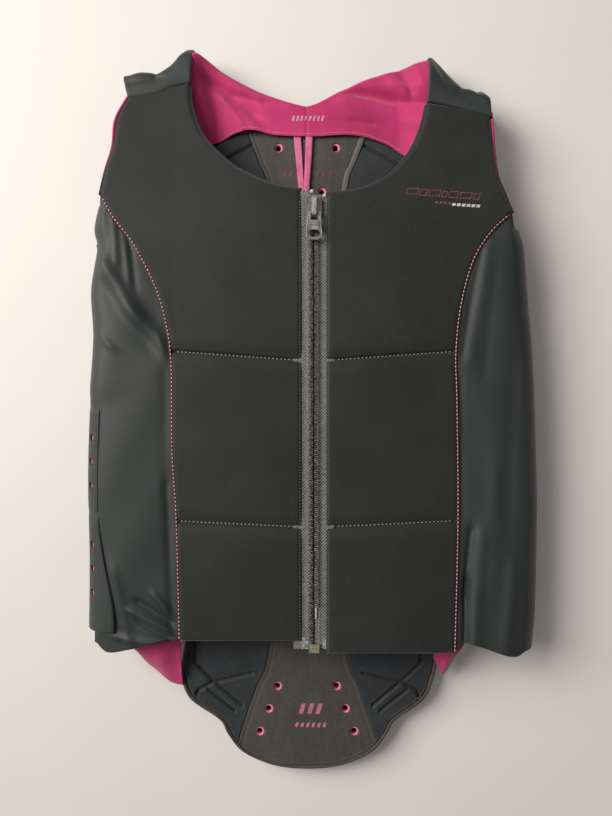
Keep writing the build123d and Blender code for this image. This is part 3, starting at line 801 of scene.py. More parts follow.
cell_foam = finish("cell_foam", cell_skin, 0.00012, Roughness=0.72, Sheen_Weight=0.12)
for (side, sign), outline in zip(SIDES.items(), sides_of_plate):
    y = np.linspace(CELL_LOW, CELL_HIGH, 430)
    half_in = spine_edge(y) - 1.3
    half_out = np.maximum(np.abs(np.interp(y, outline[:, 1], outline[:, 0]) - SPINE_X) - 2.2, half_in + 0.6)
    inner, outer = (np.column_stack([SPINE_X + sign * half, y]) for half in (half_in, half_out))
    steps = np.linspace(0, 1, 84)
    plan = between_lines(inner, outer, steps)
    x, y = plan[..., 0], plan[..., 1]
    wide = np.abs(outer[:, 0] - inner[:, 0])
    edge = np.stack([rolled(steps, w, 2.5) for w in wide])
    edge *= np.clip(np.minimum(y - CELL_LOW, CELL_HIGH - y) / 2.5, 0, 1)
    gap = cell_lines(np.abs(x - SPINE_X), y)
    crown = 0.7 * ease(gap / 14)
    lip = 0.45 * np.exp(-(((gap - 3.0) / 1.3) ** 2))
    groove_line = 2.9 * np.exp(-((gap / 1.3) ** 2))
    ripple = 0.12 * np.sin(x / 3.1) * np.sin(y / 3.7)
    height = CELL_TOP - 0.7 + crown + lip - groove_line + ripple
    top = np.dstack([x, y, CELL_BASE + (height - CELL_BASE) * edge])
    pad = pad_shape(f"cell_pad_{side}_pressed", top, np.dstack([x, y, np.full(x.shape, CELL_BASE)]))
    fit(pad, cell_foam, [f"cell_pad_{side}"])

# ---- Spine panel --------------------------------------------------------------------------------
# An hourglass of taupe laminate covers the middle from neck to tail. Its long edges are folded under
# and stitched, it is punched with ten vents, and two small plain motifs are printed on it.
PANEL_BASE, PANEL_TOP, PANEL_FOOT = 15.6, 18.4, -356.2
STITCH_IN = 5.2  # from the panel's edge to its stitched dip
y = np.r_[np.linspace(PANEL_FOOT, -330, 26), np.linspace(-328, 290, 260)]
tail_half = np.interp(y, sides_of_plate[1][:, 1], sides_of_plate[1][:, 0] - SPINE_X)
half = np.minimum(spine_edge(y), tail_half - 2.0)
steps = steps_to_edges(64, 0.7)
plan = between_lines(np.column_stack([SPINE_X - half, y]), np.column_stack([SPINE_X + half, y]), steps)
x, y = plan[..., 0], plan[..., 1]
edge_gap = half[:, None] - np.abs(x - SPINE_X)


def panel_height(x, y):
    """Slightly crowned face with a stitched dip 5 mm inside each long edge."""
    gap = spine_edge(y) - np.abs(x - SPINE_X)
    dip = 0.55 * np.exp(-(((gap - STITCH_IN) / 0.9) ** 2))
    slack = 0.25 * np.sin(x / 17.0 + 1.0) * np.sin(y / 29.0)
    return PANEL_TOP + 0.5 * ease(gap / 30) - dip + slack


def panel_skin(place):
    """Taupe pressed laminate: matte with a fine leathery grain and faint scuffs."""
    grain, patch = place.cells(520.0), place.noise(18.0, 5.0, 0.6)
    scuff = place.stretched(1.0, 0.2, 1.0).noise(240.0, 2.0)
    shade = (patch * 0.7 + grain * 0.25 + scuff * 0.3).between(0.35, 0.95)
    colour = shade.tint(rgb(0.040, 0.036, 0.033), rgb(0.088, 0.079, 0.073))
    return {"Base Color": colour, "Height": grain + scuff * 0.3, "Roughness": patch * 0.2 + 0.6}


edge = np.sqrt(1 - (1 - np.clip(np.minimum(edge_gap, y - PANEL_FOOT) / 1.6, 0, 1)) ** 2)
height = PANEL_BASE + (panel_height(x, y) - PANEL_BASE) * (0.3 + 0.7 * edge)
panel = pad_shape("spine_panel", np.dstack([x, y, height]), np.dstack([x, y, np.full(x.shape, PANEL_BASE)]))
pierced(panel, vent_cutter(9.0))
spine_grey = finish("spine_grey", panel_skin, 0.00012, False, Specular_IOR_Level=0.35)
fit(panel, spine_grey, ["inner_spine_panel"])


def vent_ring(place):
    """Cut edge of the magenta foam round a vent, paler where the punch has stretched it."""
    colour = place.noise(300.0).tint(rgb(0.60, 0.10, 0.22), rgb(0.86, 0.30, 0.46))
    return {"Base Color": colour, "Height": place.cells(1500.0)}


RIM_REACH, RIM_TURNS, RIM_SIDES = 4.8, 36, 10
turn = np.linspace(0, 2 * np.pi, RIM_TURNS, endpoint=False)
tube = np.linspace(0, 2 * np.pi, RIM_SIDES, endpoint=False)
inner_reach = 3.0 - 1.0 * np.cos(turn) - 0.3 * np.sin(turn)  # the foam's hole is a little off centre
thick = (RIM_REACH - inner_reach)[:, None] / 2
reach = RIM_REACH - thick * (1 - np.cos(tube)[None, :])
ring_x, ring_y = reach * np.cos(turn)[:, None], reach * np.sin(turn)[:, None]
ring_z = np.broadcast_to(16.9 + 1.5 * np.sin(tube), ring_x.shape)
count = len(vent_spots)
places = np.column_stack([vent_spots, np.zeros(count)])[:, None, None]
rings = np.stack([ring_x, ring_y, ring_z], axis=-1)[None] + places
shift = (np.arange(count) * RIM_TURNS * RIM_SIDES)[:, None, None]
quads = grid_quads(RIM_TURNS, RIM_SIDES, True, True)[None] + shift
vent_rims = close_up(build_mesh("vent_rims", rings.reshape(-1, 3), quads.reshape(-1, 4)))
fit(vent_rims, finish("vent_rim", vent_ring, 0.00006, False, Roughness=0.7))


def stitch_row(name, path, pitch, length, radius):
    """A run of thread: capsules set at even steps along a path, each following it."""
    path = np.asarray(path, float)
    run = np.r_[0, np.cumsum(np.linalg.norm(np.diff(path, axis=0), axis=1))]
    at = np.arange(pitch / 2, run[-1] - pitch / 2, pitch)
    ends = [np.stack([np.interp(at + s * length / 2, run, part) for part in path.T], axis=1) for s in (-1, 1)]
    profile = [(0, 0), (0.07, 0.65 * radius), (0.25, radius), (0.75, radius), (0.93, 0.65 * radius), (1, 0)]
    return rods(name, *ends, profile, 6)


def thread(name, dark, pale):
    """Spun polyester thread: its two shades run in a tight twist."""

    def paint(place):
        return {"Base Color": place.noise(900.0).tint(dark, pale), "Height": place.noise(3000.0)}

    return finish(name, paint, 0.00003, Roughness=0.6)


grey_thread = thread("grey_thread", rgb(0.075, 0.072, 0.068), rgb(0.17, 0.16, 0.15))
for side, sign in SIDES.items():
    y = np.linspace(-330, 286, 400)
    x = SPINE_X + sign * (spine_edge(y) - STITCH_IN)
    path = np.column_stack([x, y, panel_height(x, y) + 0.1])
    row = stitch_row(f"panel_stitches_{side}", path, 3.0, 2.0, 0.28)
    fit(row, grey_thread)
SLANT = 0.3  # how far a printed bar leans, as a share of its height


def printed(name, bars, surface, thick=0.22):
    """Flat slanted bars laid on a surface. Each bar is (left, bottom, width, height)."""
    x, y, wide, tall = np.array(bars, float).T
    corner_x = np.stack([x, x + wide, x + wide + SLANT * tall, x + SLANT * tall], axis=1)
    corner_y = np.stack([y, y, y + tall, y + tall], axis=1)
    low = surface(corner_x, corner_y)
    points = np.stack([np.stack([corner_x, corner_y, low + lift], axis=-1) for lift in (-0.1, thick)], axis=1)
    box = np.array([(0, 3, 2, 1), (4, 5, 6, 7), (0, 1, 5, 4), (1, 2, 6, 5), (2, 3, 7, 6), (3, 0, 4, 7)])
    quads = box[None] + (np.arange(len(bars)) * 8)[:, None, None]
    made = close_up(build_mesh(name, points.reshape(-1, 3), quads.reshape(-1, 4)), 0.000002)
    made.data.polygons.foreach_set("use_smooth", np.zeros(len(made.data.polygons), bool))
    return made


def ink(name, dark, pale):
    """Screen-printed ink, broken up a little by the cloth below it."""

    def paint(place):
        colour = place.noise(700.0, 4.0).between(0.3, 0.65).tint(dark, pale)
        return {"Base Color": colour, "Height": place.noise(1500.0)}

    return finish(name, paint, 0.00004, Roughness=0.6)


rose_ink = ink("rose_ink", rgb(0.30, 0.075, 0.14), rgb(0.62, 0.20, 0.32))
wine_ink = ink("wine_ink", rgb(0.075, 0.018, 0.03), rgb(0.16, 0.045, 0.07))


def bar_row(count, left, pitch, low, wide, tall):
    """Equal bars side by side."""
    return [(left + pitch * k, low, wide, tall) for k in range(count)]


tail_bars = bar_row(3, -15, 8.5, -303, 4.2, 10.5) + bar_row(6, -19, 5.6, -316.5, 3.0, 4.4)
neck_bars = bar_row(8, -32, 6.6, 242, 3.6, 6.4) + bar_row(3, -14, 6.6, 256, 3.2, 6.4)
for name, bars, paint in [("tail_motif", tail_bars, rose_ink), ("neck_motif", neck_bars, wine_ink)]:
    fit(printed(name, bars, panel_height), paint)

fold_y = np.linspace(196, 284, 60)
fold_line = np.column_stack([SPINE_X + spine_edge(fold_y) - 3.0, fold_y])
strip_plan = between_lines(fold_line - [3.4, 0], fold_line + [2.6, 0], np.linspace(0, 1, 12))
strip_top = 19.6 + 0.5 * np.sin(np.linspace(0, np.pi, 12))[None, :] + 0.2 * np.sin(fold_y / 7.0)[:, None]
edge_strip = sheet_shape("panel_edge_fold", np.dstack([strip_plan, strip_top]), 1.0)


def pale_panel_skin(place):
    """The laminate's folded edge, paler than its face."""
    colour = place.noise(60.0, 4.0).tint(rgb(0.075, 0.068, 0.062), rgb(0.135, 0.123, 0.113))
    return {"Base Color": colour, "Height": place.cells(600.0)}


fit(edge_strip, finish("pale_laminate_fold", pale_panel_skin, 0.0001, Roughness=0.65))

# ---- Tail binding -------------------------------------------------------------------------------
# Folded grey-brown tape is wrapped round the cut edge of the laminate at the tail and stitched down.


def tape_cloth(place):
    """Grosgrain tape, grey-brown, ribbed across and scuffed on the crest."""
    ribs = place.node("TexWave", {"Vector": place, "Scale": 300.0, "Distortion": 1.5}, output=1)
    patch = place.noise(50.0)
    colour = (patch + ribs * 0.3).between(0.3, 1.0).tint(rgb(0.030, 0.027, 0.024), rgb(0.085, 0.077, 0.068))
    return {"Base Color": colour, "Height": ribs + place.noise(900.0)}


binding_tape = finish("binding_tape", tape_cloth, 0.00016, Roughness=0.85, Sheen_Weight=0.1)
TAPE_POINTS = 88  # how far up each side of the plate the tape runs
left_run, right_run = (outline[:TAPE_POINTS] for outline in sides_of_plate)
rim_line = np.vstack([left_run[::-1], right_run[1:]])
count = len(rim_line)
path = np.column_stack([rim_line, np.full(count, 10.2)])
path[:, :2] += 0.25 * np.column_stack([np.sin(np.arange(count) / 5.0), np.cos(np.arange(count) / 7.0)])
binding = tube_shape("tail_edge_tape", path, 3.1, 18, flat=3.05)
fit(binding, binding_tape, ["tail_binding"])
inward = np.array([SPINE_X, -200.0]) - rim_line
inside = rim_line + inward * (4.2 / np.linalg.norm(inward, axis=1))[:, None]
row = stitch_row("tail_stitches", np.column_stack([inside, np.full(count, 19.0)]), 3.2, 2.1, 0.3)
fit(row, grey_thread)

# ---- Shoulder yokes -----------------------------------------------------------------------------
# Stretch cloth turns over each shoulder from the front seam to the back yoke. It stands up in a soft
# fold, puckered at the armhole end, and starts under the front's edge.
FRONT_SEAM = {
    "left": [(120, 326), (134, 323), (150, 316.5), (166, 313), (180, 311.5)],
    "right": [(109, 306), (121, 304.5), (133, 302), (150, 298), (172, 292)],
}
SHOULDER_LINE = {
    "left": [
        (118, 364), (124, 364.5), (131, 360), (135, 354), (141, 347), (153, 338), (161, 339.5),
        (172, 340.5),
        (181, 337.5), (188, 337),
    ],
    "right": [
        (114, 357), (118, 356.5), (124, 350), (133, 338.5), (144, 326.5), (152, 324), (159, 320.5),
        (165, 321.5),
        (170, 317),
    ],
}
SHOULDER_FOLDS = {
    "left": [
        ((-174, 331), (-158, 334), 6, 2.6), ((-184, 322), (-150, 327), 3, -1.6),
        ((-146, 336), (-130, 352), 4, 1.4),
    ],
    "right": [
        ((150, 314), (166, 306), 5, 3.0), ((146, 320), (134, 308), 4, -1.4),
        ((120, 345), (128, 326), 4, -2.2),
    ],
}
SHOULDER_MIDDLE = 25.0
SEAM_LAP = 4.5  # the yoke starts this far below the front's edge, under its cloth


def shoulder_grid(side, columns=70, rows=64):
    """A half turn from the front seam over the shoulder line to the underside, as two quarter ellipses."""
    u = np.linspace(0, 1, columns)
    seam = smooth_line(FRONT_SEAM[side], u)[None] - [0, SEAM_LAP]
    top = smooth_line(SHOULDER_LINE[side], u)[None]
    turn = np.linspace(0, np.pi, rows)[:, None]
    out, lift = np.sin(turn) ** 0.8, np.cos(turn)
    start = front_height(seam[..., 0], seam[..., 1]) - 1.9
    half_height = np.where(turn > np.pi / 2, SHOULDER_MIDDLE - 3.2, start - SHOULDER_MIDDLE)
    back = 8.0 * ease((turn - np.pi / 2) / (np.pi / 2))
    x = seam[..., 0] + (top[..., 0] - seam[..., 0]) * out
    y = seam[..., 1] + (top[..., 1] - seam[..., 1]) * out - back
    z = SHOULDER_MIDDLE + half_height * lift
    relief = sum(fold(SIDES[side] * x, y, *one) for one in SHOULDER_FOLDS[side])
    relief = relief * np.clip(out * 1.6 - 0.2, 0, 1)
    bulge = 2.2 * out * (1 - out) * 4 * (lift > 0)
    return np.dstack([SIDES[side] * x, y, z + bulge + relief * np.where(lift > 0, 1, -0.3)])


for side in SIDES:
    yoke = sheet_shape(f"shoulder_yoke_{side}_cloth", shoulder_grid(side), 1.2)
    fit(yoke, stretch, [f"shoulder_yoke_{side}"])

# ---- Neck facing --------------------------------------------------------------------------------
# A shaped magenta facing lines the back of the neck. It is seamed at the middle, topstitched along
# its lower edge, and it creases where the collapsed shoulders push it together.
FACING_UPPER = [
    (-122, 350), (-114, 357), (-83, 338.5), (-52, 324), (-16, 313), (0, 313), (32, 328), (68, 341),
    (108, 349),
    (116, 343),
]
FACING_LOWER = [
    (-126, 262), (-104, 272), (-70, 287), (-37, 283), (0, 282), (40, 283), (71, 275), (92, 262), (112, 246),
]
FACING_FOLDS = [
    ((38, 326), (116, 309), 4.0, -5.2), ((46, 336), (116, 323), 6, 3.2), ((36, 314), (108, 290), 7, 3.0),
    ((86, 345), (97, 324), 3.4, -3.4), ((72, 342), (88, 322), 5, 2.4), ((40, 297), (58, 294), 2.4, -1.2),
    ((100, 347), (106, 330), 3.4, 2.2), ((-88, 337), (-56, 318), 4.0, 3.4),
    ((-100, 333), (-62, 305), 5, -5.0),
    ((-78, 322), (-52, 314), 3.0, -2.6), ((-108, 342), (-96, 290), 7, -5.4),
    ((-72, 312), (-58, 286), 8, 2.2),
    ((-92, 318), (-74, 296), 4, 2.4), ((-50, 306), (40, 302), 8, 0.9),
]
FACING_FLOOR = 20.4  # the facing never sinks below this height


def facing_height(x, y, creased=1.0):
    """Rises towards the neck edge and, at both ends, towards the shoulder seams; creased and seamed."""
    rise = 19.9 + 0.128 * (y - 260) + 12.0 * ease((np.abs(x + 4) - 86) / 36)
    folds = sum(fold(x, y, *one) for one in FACING_FOLDS)
    seam = 0.8 * np.exp(-(((x + 7) / 0.8) ** 2))
    weave = 0.25 * np.sin(x / 6.0) * np.sin(y / 8.0 + x / 19.0)
    return np.maximum(rise + folds * creased + weave - seam, FACING_FLOOR)


steps = np.linspace(0, 1, 190)
upper, lower = smooth_line(FACING_UPPER, steps), smooth_line(FACING_LOWER, steps)
up = np.linspace(0, 1, 60)
plan = between_lines(lower, upper, up)
taut = 1 - 0.65 * ease((up[None, :] - 0.72) / 0.28)  # the neck edge is held straight
height = facing_height(plan[..., 0], plan[..., 1], taut)
height -= 2.2 * (1 - rolled(up, len(up), 5.0))[None, :] * (up > 0.5)
facing = sheet_shape("neck_facing_cloth", np.dstack([plan, height]), 1.1)
fit(facing, lining, ["neck_facing"])

rose_thread = thread("rose_thread", rgb(0.56, 0.26, 0.31), rgb(0.84, 0.60, 0.62))
edge_line = smooth_line(FACING_LOWER, np.linspace(0.14, 0.88, 300)) + [0, 2.6]
path = np.column_stack([edge_line, facing_height(*edge_line.T) + 0.15])
fit(stitch_row("facing_stitches", path, 2.7, 1.8, 0.25), rose_thread)
pale_ink = ink("pale_ink", rgb(0.50, 0.13, 0.22), rgb(0.74, 0.40, 0.46))
label = printed("facing_motif", bar_row(8, -22, 4.2, 296.5, 2.2, 4.6), facing_height)
fit(label, pale_ink)

# ---- Back yoke ----------------------------------------------------------------------------------
# The cloth above and beside the plate. It is sewn along the plate's edge, and from there it rises to
# the neck, runs under the shoulders and ends at the back of each armhole.
yoke_inner = [(-128.6, 184, 2.8), (-128.6, 296.6, 2.8), (128.6, 296.6, 2.8), (128.6, 184, 2.8)]
yoke_outer = {
    "left": [(-188, 178, 2.8), (-190, 250, 2.8), (-186, 312, 3.4)],
    "neck": [
        (-178, 316, 3.4), (-140, 332, 8), (-126, 348, 20),
        *[(x, y - 2.0, float(facing_height(x, y - 2.0, 0.35)) - 3.4) for x, y in FACING_UPPER[1:-1]],
        (119, 336, 20), (130, 316, 8), (160, 298, 3.4),
    ],
    "right": [(168, 293, 3.4), (174, 240, 2.8), (186, 178, 2.8)],
}
runs = [
    (yoke_inner[:2], yoke_outer["left"], 40),
    (yoke_inner[1:3], yoke_outer["left"][-1:] + yoke_outer["neck"] + yoke_outer["right"][:1], 130),
    (yoke_inner[2:], yoke_outer["right"], 40),
]
inner, outer = (
    np.vstack([smooth_line(run[which], np.linspace(0, 1, run[2])) for run in runs]) for which in (0, 1)
)
back_yoke = between_lines(inner, outer, np.linspace(0, 1, 34))
drape = np.sin(np.pi * np.linspace(0, 1, 34))[None, :]
back_yoke[..., 2] += 1.1 * drape * np.sin(back_yoke[..., 0] / 9.0 + back_yoke[..., 1] / 21.0) ** 2
back_yoke[..., 2] -= 5.0 * drape * ease((outer[:, 2:] - 8) / 20)
x, y, height = np.moveaxis(back_yoke, 2, 0)
faced = (np.abs(x + 4) < 122) & (y > 262)
below_facing = np.minimum(facing_height(x, y), facing_height(x, y, 0.35)) - 3.0
height = np.where(faced, np.minimum(height, below_facing), height)
back_yoke[..., 2] = np.maximum(height, 1.6)
yoke_cloth = sheet_shape("back_yoke_cloth", back_yoke, 1.2)
fit(yoke_cloth, stretch, ["back_yoke"])

# ---- Hanger loop --------------------------------------------------------------------------------
# One magenta ribbon is sewn in under the facing at both ends, and folds back on itself at the bottom.
ribbon_line = [
    (-16.4, 284, 20.9), (-14.6, 262, 20.6), (-12.6, 236, 20.3), (-10.8, 210, 20.1), (-10.2, 201, 20.1),
    (-9.6, 198.4, 20.9), (-9.0, 201, 21.8), (-8.2, 212, 21.9), (-6.4, 238, 21.6), (-5.0, 262, 21.4),
    (-4.0, 284, 21.4),
]
centre = smooth_line(ribbon_line, np.linspace(0, 1, 150))
wide = np.interp(centre[:, 1], [198, 240, 284], [2.9, 3.2, 3.9])[:, None]
across = np.linspace(-1, 1, 9)[None, :]
ribbon_x = centre[:, :1] + wide * across
ribbon_z = centre[:, 2:] + 0.35 * (1 - across**2)
ribbon = np.dstack([ribbon_x, np.broadcast_to(centre[:, 1:2], ribbon_x.shape), ribbon_z])


def ribbon_cloth(place):
    """Satin ribbon: fine lengthways ribs, paler than the lining."""
    ribs = place.ribs(900.0)
    colour = place.noise(120.0, 4.0).between(0.3, 0.75).tint(rgb(0.56, 0.060, 0.20), rgb(0.80, 0.17, 0.36))
    return {"Base Color": colour, "Height": ribs + place.ribs(700.0, "Y") * 0.5}


loop = sheet_shape("hanger_ribbon", ribbon, 0.7)
satin = finish("satin_ribbon", ribbon_cloth, 0.00008, Roughness=0.45, Sheen_Weight=0.2)
fit(loop, satin, ["hanger_loop"])

# ---- Armhole edges ------------------------------------------------------------------------------
# The lining is turned out as a narrow piping at each armhole: magenta towards the shoulder, and dark wine
# lower down, where the edge rolls under: the dark knit there, with painted shade.


def armhole_cloth(place):
    """Lining piping that fades from dark wine at the armpit to magenta near the shoulder; the dark end is the
    knit's colour with painted shade where the edge rolls under.
    """
    height = place.node("SeparateXYZ", {"Vector": place}, output=1)
    # painted shade: the piping darkens to near black lower down the armhole
    share = (height + place.noise(90.0) * 0.02).between(0.232, 0.292)
    colour = share.tint(rgb(0.024, 0.012, 0.014), rgb(0.46, 0.035, 0.14))
    return {"Base Color": colour, "Height": place.noise(800.0)}


piping = finish("armhole_piping", armhole_cloth, 0.00008, False, Roughness=0.8)
for side, sign in SIDES.items():
    line = smooth_line(ARMHOLE[side], np.linspace(0.0, 1.0, 90))
    out = 0.9 + 1.3 * ease((line[:, 1:] - 245) / 45)
    depth = front_height(line[:, :1], line[:, 1:]) - 5.0
    path = np.column_stack([(line[:, :1] + out) * sign, line[:, 1:], depth])
    edge_roll = tube_shape(f"armhole_piping_{side}", path, 1.7, 12, flat=1.7)
    fit(edge_roll, piping, [f"armhole_binding_{side}"])

# ---- Lining gussets -----------------------------------------------------------------------------
# Between each wing and the tail the lining falls from the hem to the plate in a creased triangle.
GUSSETS = {  # hem line, foot line, start of the creases, flat size
    "left": (
        [(-187, -217, 41), (-164, -221, 42), (-148, -216, 44), (-131, -214, 42)],
        [(-181, -234, 26), (-160, -257, 21.5), (-147, -268, 20.8), (-132, -273, 20.6)],
        0,
        (0.056, 0.058),
    ),
    "right": (
        [(119, -222, 42), (130, -224, 44), (139, -223, 43), (149, -220, 40)],
        [(121, -244, 20.8), (127, -257, 20.8), (131, -263, 21), (143, -240, 26)],
        2,
        (0.030, 0.044),
    ),
}
u, v = np.linspace(0, 1, 60), np.linspace(0, 1, 48)
for side, (hem, foot, phase, size) in GUSSETS.items():
    gusset = between_lines(smooth_line(hem, u), smooth_line(foot, u), v)
    fan = np.sin(u[:, None] * 11.0 + 1.5 * v[None, :] + phase)
    creases = 1.7 * fan * np.sin(np.pi * np.clip(v[None, :] * 0.9 + 0.08, 0, 1))
    gusset[..., 2] += creases + 2.5 * np.sin(np.pi * v)[None, :]
    gusset[..., 1] += 0.8 * fan * v[None, :]
    cloth = sheet_shape(f"lining_gusset_{side}_cloth", gusset, 1.0)
    fit(cloth, lining, [f"lining_gusset_{side}"])

# ---- Zip tapes ----------------------------------------------------------------------------------
# Each half of the open-end zip is a twill tape, sewn under the front's edge. Its inner rim carries the
# coil, and a clear film stiffens its end by the box.
TAPE_TOP, TAPE_THICK = 57.8, 0.8
TAPE_RUN = {"left": (-223.0, 215.0), "right": (-222.0, 211.0)}


def twill(place):
    """Woven tape: diagonal ribs, dark grey with paler crests."""
    slanted = place.node("Mapping", {"Vector": place, "Rotation": (0, 0, 0.78)})
    ribs, fuzz = slanted.ribs(150.0), place.noise(650.0, 4.0, 0.65)
    shade = (ribs * 0.45 + fuzz * 0.8).between(0.35, 0.95)
    colour = shade.tint(rgb(0.012, 0.012, 0.011), rgb(0.300, 0.294, 0.272))
    return {"Base Color": colour, "Height": ribs + fuzz * 0.4}


tape_twill = finish("zip_twill", twill, 0.00016, False, Roughness=0.75, Sheen_Weight=0.15)
for side, sign in SIDES.items():
    low, high = TAPE_RUN[side]
    y = np.linspace(low, high, 260)[:, None]
    out = np.linspace(0.9, 19.5, 26)[None, :]
    sag = 0.35 * np.sin(y / 23.0) * ease((out - 5) / 10) - 0.5 * ease((out - 10) / 8)
    bead = 0.4 * np.exp(-(((out - 5.6) / 0.7) ** 2))
    top = np.dstack(np.broadcast_arrays(sign * out, y, TAPE_TOP + sag + bead))
    tape = sheet_shape(f"zip_tape_{side}_twill", top, TAPE_THICK)
    fit(tape, tape_twill, [f"zip_tape_{side}"], body=f"front_{side}")

# ---- Zip coils ----------------------------------------------------------------------------------
# A nylon filament is wound in flattened turns and sewn along each tape. The turns of one side mesh
# between those of the other, with a line of lock stitches along each.
PITCH = 1.9
COIL_RUN = {"left": (-216.6, 211.0), "right": (-182.5, 186.5)}


def filament(place):
    """Dark nylon: a little gloss, and dust in the gaps."""
    dust = place.noise(420.0, 4.0)
    colour = dust.between(0.40, 0.68).tint(rgb(0.012, 0.012, 0.011), rgb(0.300, 0.292, 0.272))
    return {"Base Color": colour, "Height": dust}


coil_nylon = finish("coil_nylon", filament, 0.00004, False, Roughness=0.42)
for side, sign in SIDES.items():
    low, high = COIL_RUN[side]
    turns = int((high - low) / PITCH)
    along = np.linspace(0, turns * 2 * np.pi, turns * 12 + 1)
    squared = np.sign(np.cos(along)) * np.abs(np.cos(along)) ** 0.6
    y = low + along / (2 * np.pi) * PITCH + (0.5 * PITCH if side == "right" else 0.0)
    path = np.column_stack([sign * (2.75 - 2.25 * squared), y, 59.0 + 0.85 * np.sin(along)])
    coil = tube_shape(f"zip_coil_{side}_turns", path, 0.42, 6)
    fit(coil, coil_nylon, [f"zip_coil_{side}"], body=f"front_{side}")
    lock = np.column_stack([np.full(2, sign * 3.6), [low + 1, high - 1], np.full(2, 60.05)])
    row = stitch_row(f"coil_stitches_{side}", lock, PITCH, 1.5, 0.26)
    fit(row, grey_thread, body=f"front_{side}")

# ---- Zip metalwork ------------------------------------------------------------------------------
# Die-cast slider with a bridge, lacquered pull tab on its bar, moulded box and pin at the foot, small
# stops at the head, and the clear end films.


def worn_metal(dark, pale, scale=260.0):
    """Metal rubbed in fine lines, with duller pits."""

    def paint(place):
        rub = place.stretched(1.0, 0.25, 1.0).noise(scale, 4.0, 0.6)
        pits = place.noise(700.0, 3.0)
        shade = (rub * 0.7 + pits * 0.4).between(0.35, 0.75)
        return {"Base Color": shade.tint(dark, pale), "Roughness": rub * 0.3 + 0.22, "Height": pits}

    return paint


def film(place):
    """Clear film over the tape: milky, with trapped specks."""
    specks = place.noise(420.0, 4.0)
    colour = specks.between(0.4, 0.7).tint(rgb(0.12, 0.13, 0.13), rgb(0.42, 0.43, 0.41))
    return {"Base Color": colour, "Height": specks}


silver_rub = worn_metal(rgb(0.30, 0.30, 0.29), rgb(0.80, 0.79, 0.74))
grey_rub = worn_metal(rgb(0.06, 0.06, 0.058), rgb(0.34, 0.335, 0.315))
lacquer_rub = worn_metal(rgb(0.07, 0.07, 0.067), rgb(0.42, 0.41, 0.385))
brass_rub = worn_metal(rgb(0.16, 0.13, 0.08), rgb(0.85, 0.76, 0.55), 180.0)
nylon_rub = worn_metal(rgb(0.30, 0.29, 0.26), rgb(0.72, 0.70, 0.64))
give(finish("slider_silver", silver_rub, 0.00004, False, Metallic=0.85), "slider_bridge")
give(finish("slider_grey", grey_rub, 0.00004, False, Metallic=0.7), "slider_body")
lacquer = finish("tab_lacquer", lacquer_rub, 0.00004, False, Metallic=0.5)
give(lacquer, "pull_tab")
give(finish("box_brass", brass_rub, 0.0001, False, Metallic=0.8), "retaining_box")
stop_nylon = finish("stop_nylon", nylon_rub, 0.00004, False)
give(stop_nylon, "top_stop_left", "top_stop_right", "insertion_pin")
give(finish("end_film", film, 0.00004, False, Roughness=0.15), "end_film_left", "end_film_right")

# The tab's raised rim and the cross bar on it are part of the casting, and catch the light.
tab_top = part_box("pull_tab")[1][2] / MM - 0.15
rim_points = [
    (-5.9, 189), (-6.2, 181), (-7.1, 172), (-5.0, 167.2), (0, 166.4), (5.0, 167.2), (7.1, 172),
    (6.2, 181), (5.9, 189),
]
bars = {
    "tab_rim": np.column_stack([smooth_line(rim_points, np.linspace(0, 1, 70)), np.full(70, tab_top)]),
    "tab_bar": np.column_stack([np.linspace(-4.8, 4.8, 12), np.full(12, 180.5), np.full(12, tab_top)]),
}
for name, path in bars.items():
    fit(tube_shape(name, path, 0.45, 8), lacquer, body="pull")

# ---- Stitching ----------------------------------------------------------------------------------
# Pale thread holds the channels, and pink thread the side seams beside a piping of lining cloth, painted dark
# wine for the shade in the seam. Dark thread holds the turned edges beside the zip, and grey thread the lip
# of the left wing.
pale_thread = thread("pale_thread", rgb(0.36, 0.33, 0.31), rgb(0.72, 0.67, 0.63))
seam_thread = thread("seam_thread", rgb(0.66, 0.40, 0.44), rgb(0.92, 0.74, 0.74))
dark_thread = thread("dark_thread", rgb(0.08, 0.08, 0.075), rgb(0.26, 0.255, 0.24))


def seam_lining_in_shade(place):
    """Lining cloth caught in the seam: its magenta with painted shade, dark wine."""
    # painted shade: the lining's magenta taken down to dark wine for the seam's valley
    colour = place.noise(200.0, 4.0).tint(rgb(0.045, 0.009, 0.017), rgb(0.19, 0.026, 0.056))
    return {"Base Color": colour, "Height": place.noise(900.0)}


seam_piping = finish("seam_piping", seam_lining_in_shade, 0.00008, Roughness=0.85)


def on_front(side, x, y):
    """Points on the outer face of a front, at a distance from the zip."""
    height = front_height(x, y) + front_relief(SIDES[side] * x, y, side)
    return np.column_stack([SIDES[side] * x, y, height])


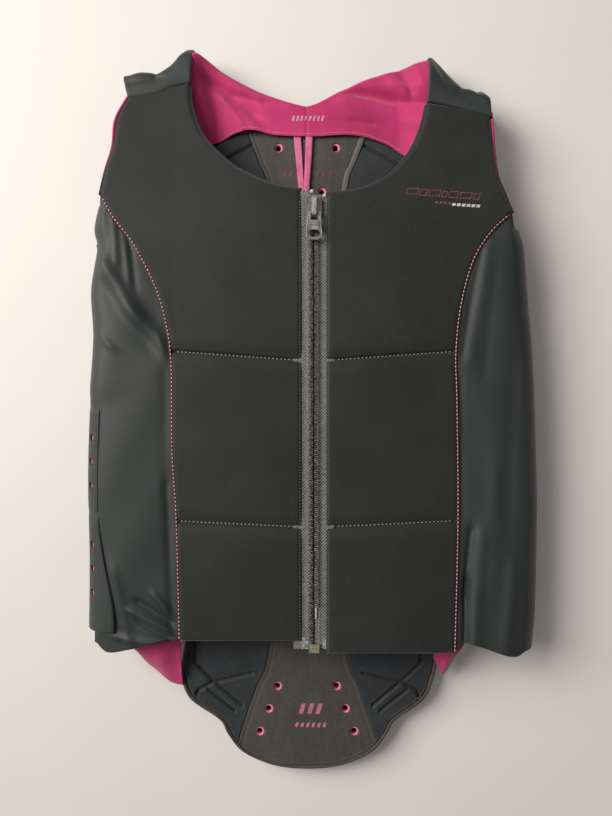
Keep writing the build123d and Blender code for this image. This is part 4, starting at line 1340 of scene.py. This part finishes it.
for side, sign in SIDES.items():
    x = np.linspace(18.0, 134.0, 200)
    for which in CHANNELS:
        path = on_front(side, x, channel_station(which, x)) + [0, 0, 0.45]
        row = stitch_row(f"{which}_channel_stitches_{side}", path, 3.8, 1.6, 0.38)
        fit(row, pale_thread, bends=side)
    seam = smooth_line(SIDE_SEAM[side], np.linspace(0.004, 0.996, 420))
    seam_z = front_height(seam[:, 0], seam[:, 1]) - 1.9
    path = np.column_stack([sign * (seam[:, 0] + 0.4), seam[:, 1], seam_z])
    piping_roll = tube_shape(f"side_seam_piping_{side}", path, 1.0, 8)
    row = stitch_row(f"side_seam_stitches_{side}", path + [-sign * 0.5, 0, 1.0], 3.8, 1.8, 0.44)
    zip_x = zip_edge + (1.6 if side == "right" else 1.3)
    y = np.linspace(SIDE_SEAM[side][0][1] + 2, NECKLINE[side][0][1] - 3, 300)
    rolled_edge = front_height(zip_x, y) + front_relief(zip_x, y, side) - 0.5
    edge_path = np.column_stack([np.full(len(y), sign * zip_x), y, rolled_edge])
    edge_row = stitch_row(f"zip_edge_stitches_{side}", edge_path, 2.9, 1.9, 0.26)
    fit(piping_roll, seam_piping, bends=side)
    fit(row, seam_thread, bends=side)
    fit(edge_row, dark_thread, bends=side)

lip_line = wing_grid("left", -0.15, 0, 260)[:, -3]
lip_line = lip_line[(lip_line[:, 1] > -214) & (lip_line[:, 1] < LAP_START)]
fit(stitch_row("wing_lip_stitches", lip_line, 3.4, 2.0, 0.28), grey_thread)

# ---- Chest mark ---------------------------------------------------------------------------------
# A plain mark is printed on the wearer's chest: slanted rose outlines over a short pale bar.
CHEST_LEFT, CHEST_LOW, OUTLINE, BLOCK_TALL, BLOCK_GAP = 87.0, 210.5, 0.75, 6.4, 1.7
MARK_FALL = 0.075  # the mark runs this much downhill to the right
widths = [11.0, 7.0, 11.0, 4.5, 9.0, 11.0, 6.0]
starts = CHEST_LEFT + np.r_[0, np.cumsum(np.array(widths) + BLOCK_GAP)[:-1]]
rise = BLOCK_TALL - OUTLINE
outlines = []
for left, wide in zip(starts, widths):
    outlines += [(x, CHEST_LOW, OUTLINE, BLOCK_TALL) for x in (left, left + wide - OUTLINE)]
    outlines += [(left, CHEST_LOW, wide, OUTLINE), (left + SLANT * rise, CHEST_LOW + rise, wide, OUTLINE)]


def chest_surface(x, y):
    """Height of the right front under the print."""
    return front_height(x, y) + front_relief(x, y, "right")


mark_ink = ink("mark_ink", rgb(0.09, 0.020, 0.036), rgb(0.26, 0.070, 0.115))
white_ink = ink("white_ink", rgb(0.38, 0.33, 0.34), rgb(0.74, 0.68, 0.68))
chest_marks = {
    "chest_outlines": (outlines, mark_ink),
    "chest_bar": (bar_row(6, 131, 4.6, 203.2, 3.4, 2.6), white_ink),
    "chest_dashes": (bar_row(4, 115, 4.0, 204.0, 2.6, 2.3), mark_ink),
}
for name, (bars, paint) in chest_marks.items():
    tilted = [(x, y - MARK_FALL * (x - CHEST_LEFT), wide, tall) for x, y, wide, tall in bars]
    fit(printed(name, tilted, chest_surface, thick=0.16), paint, bends="right")
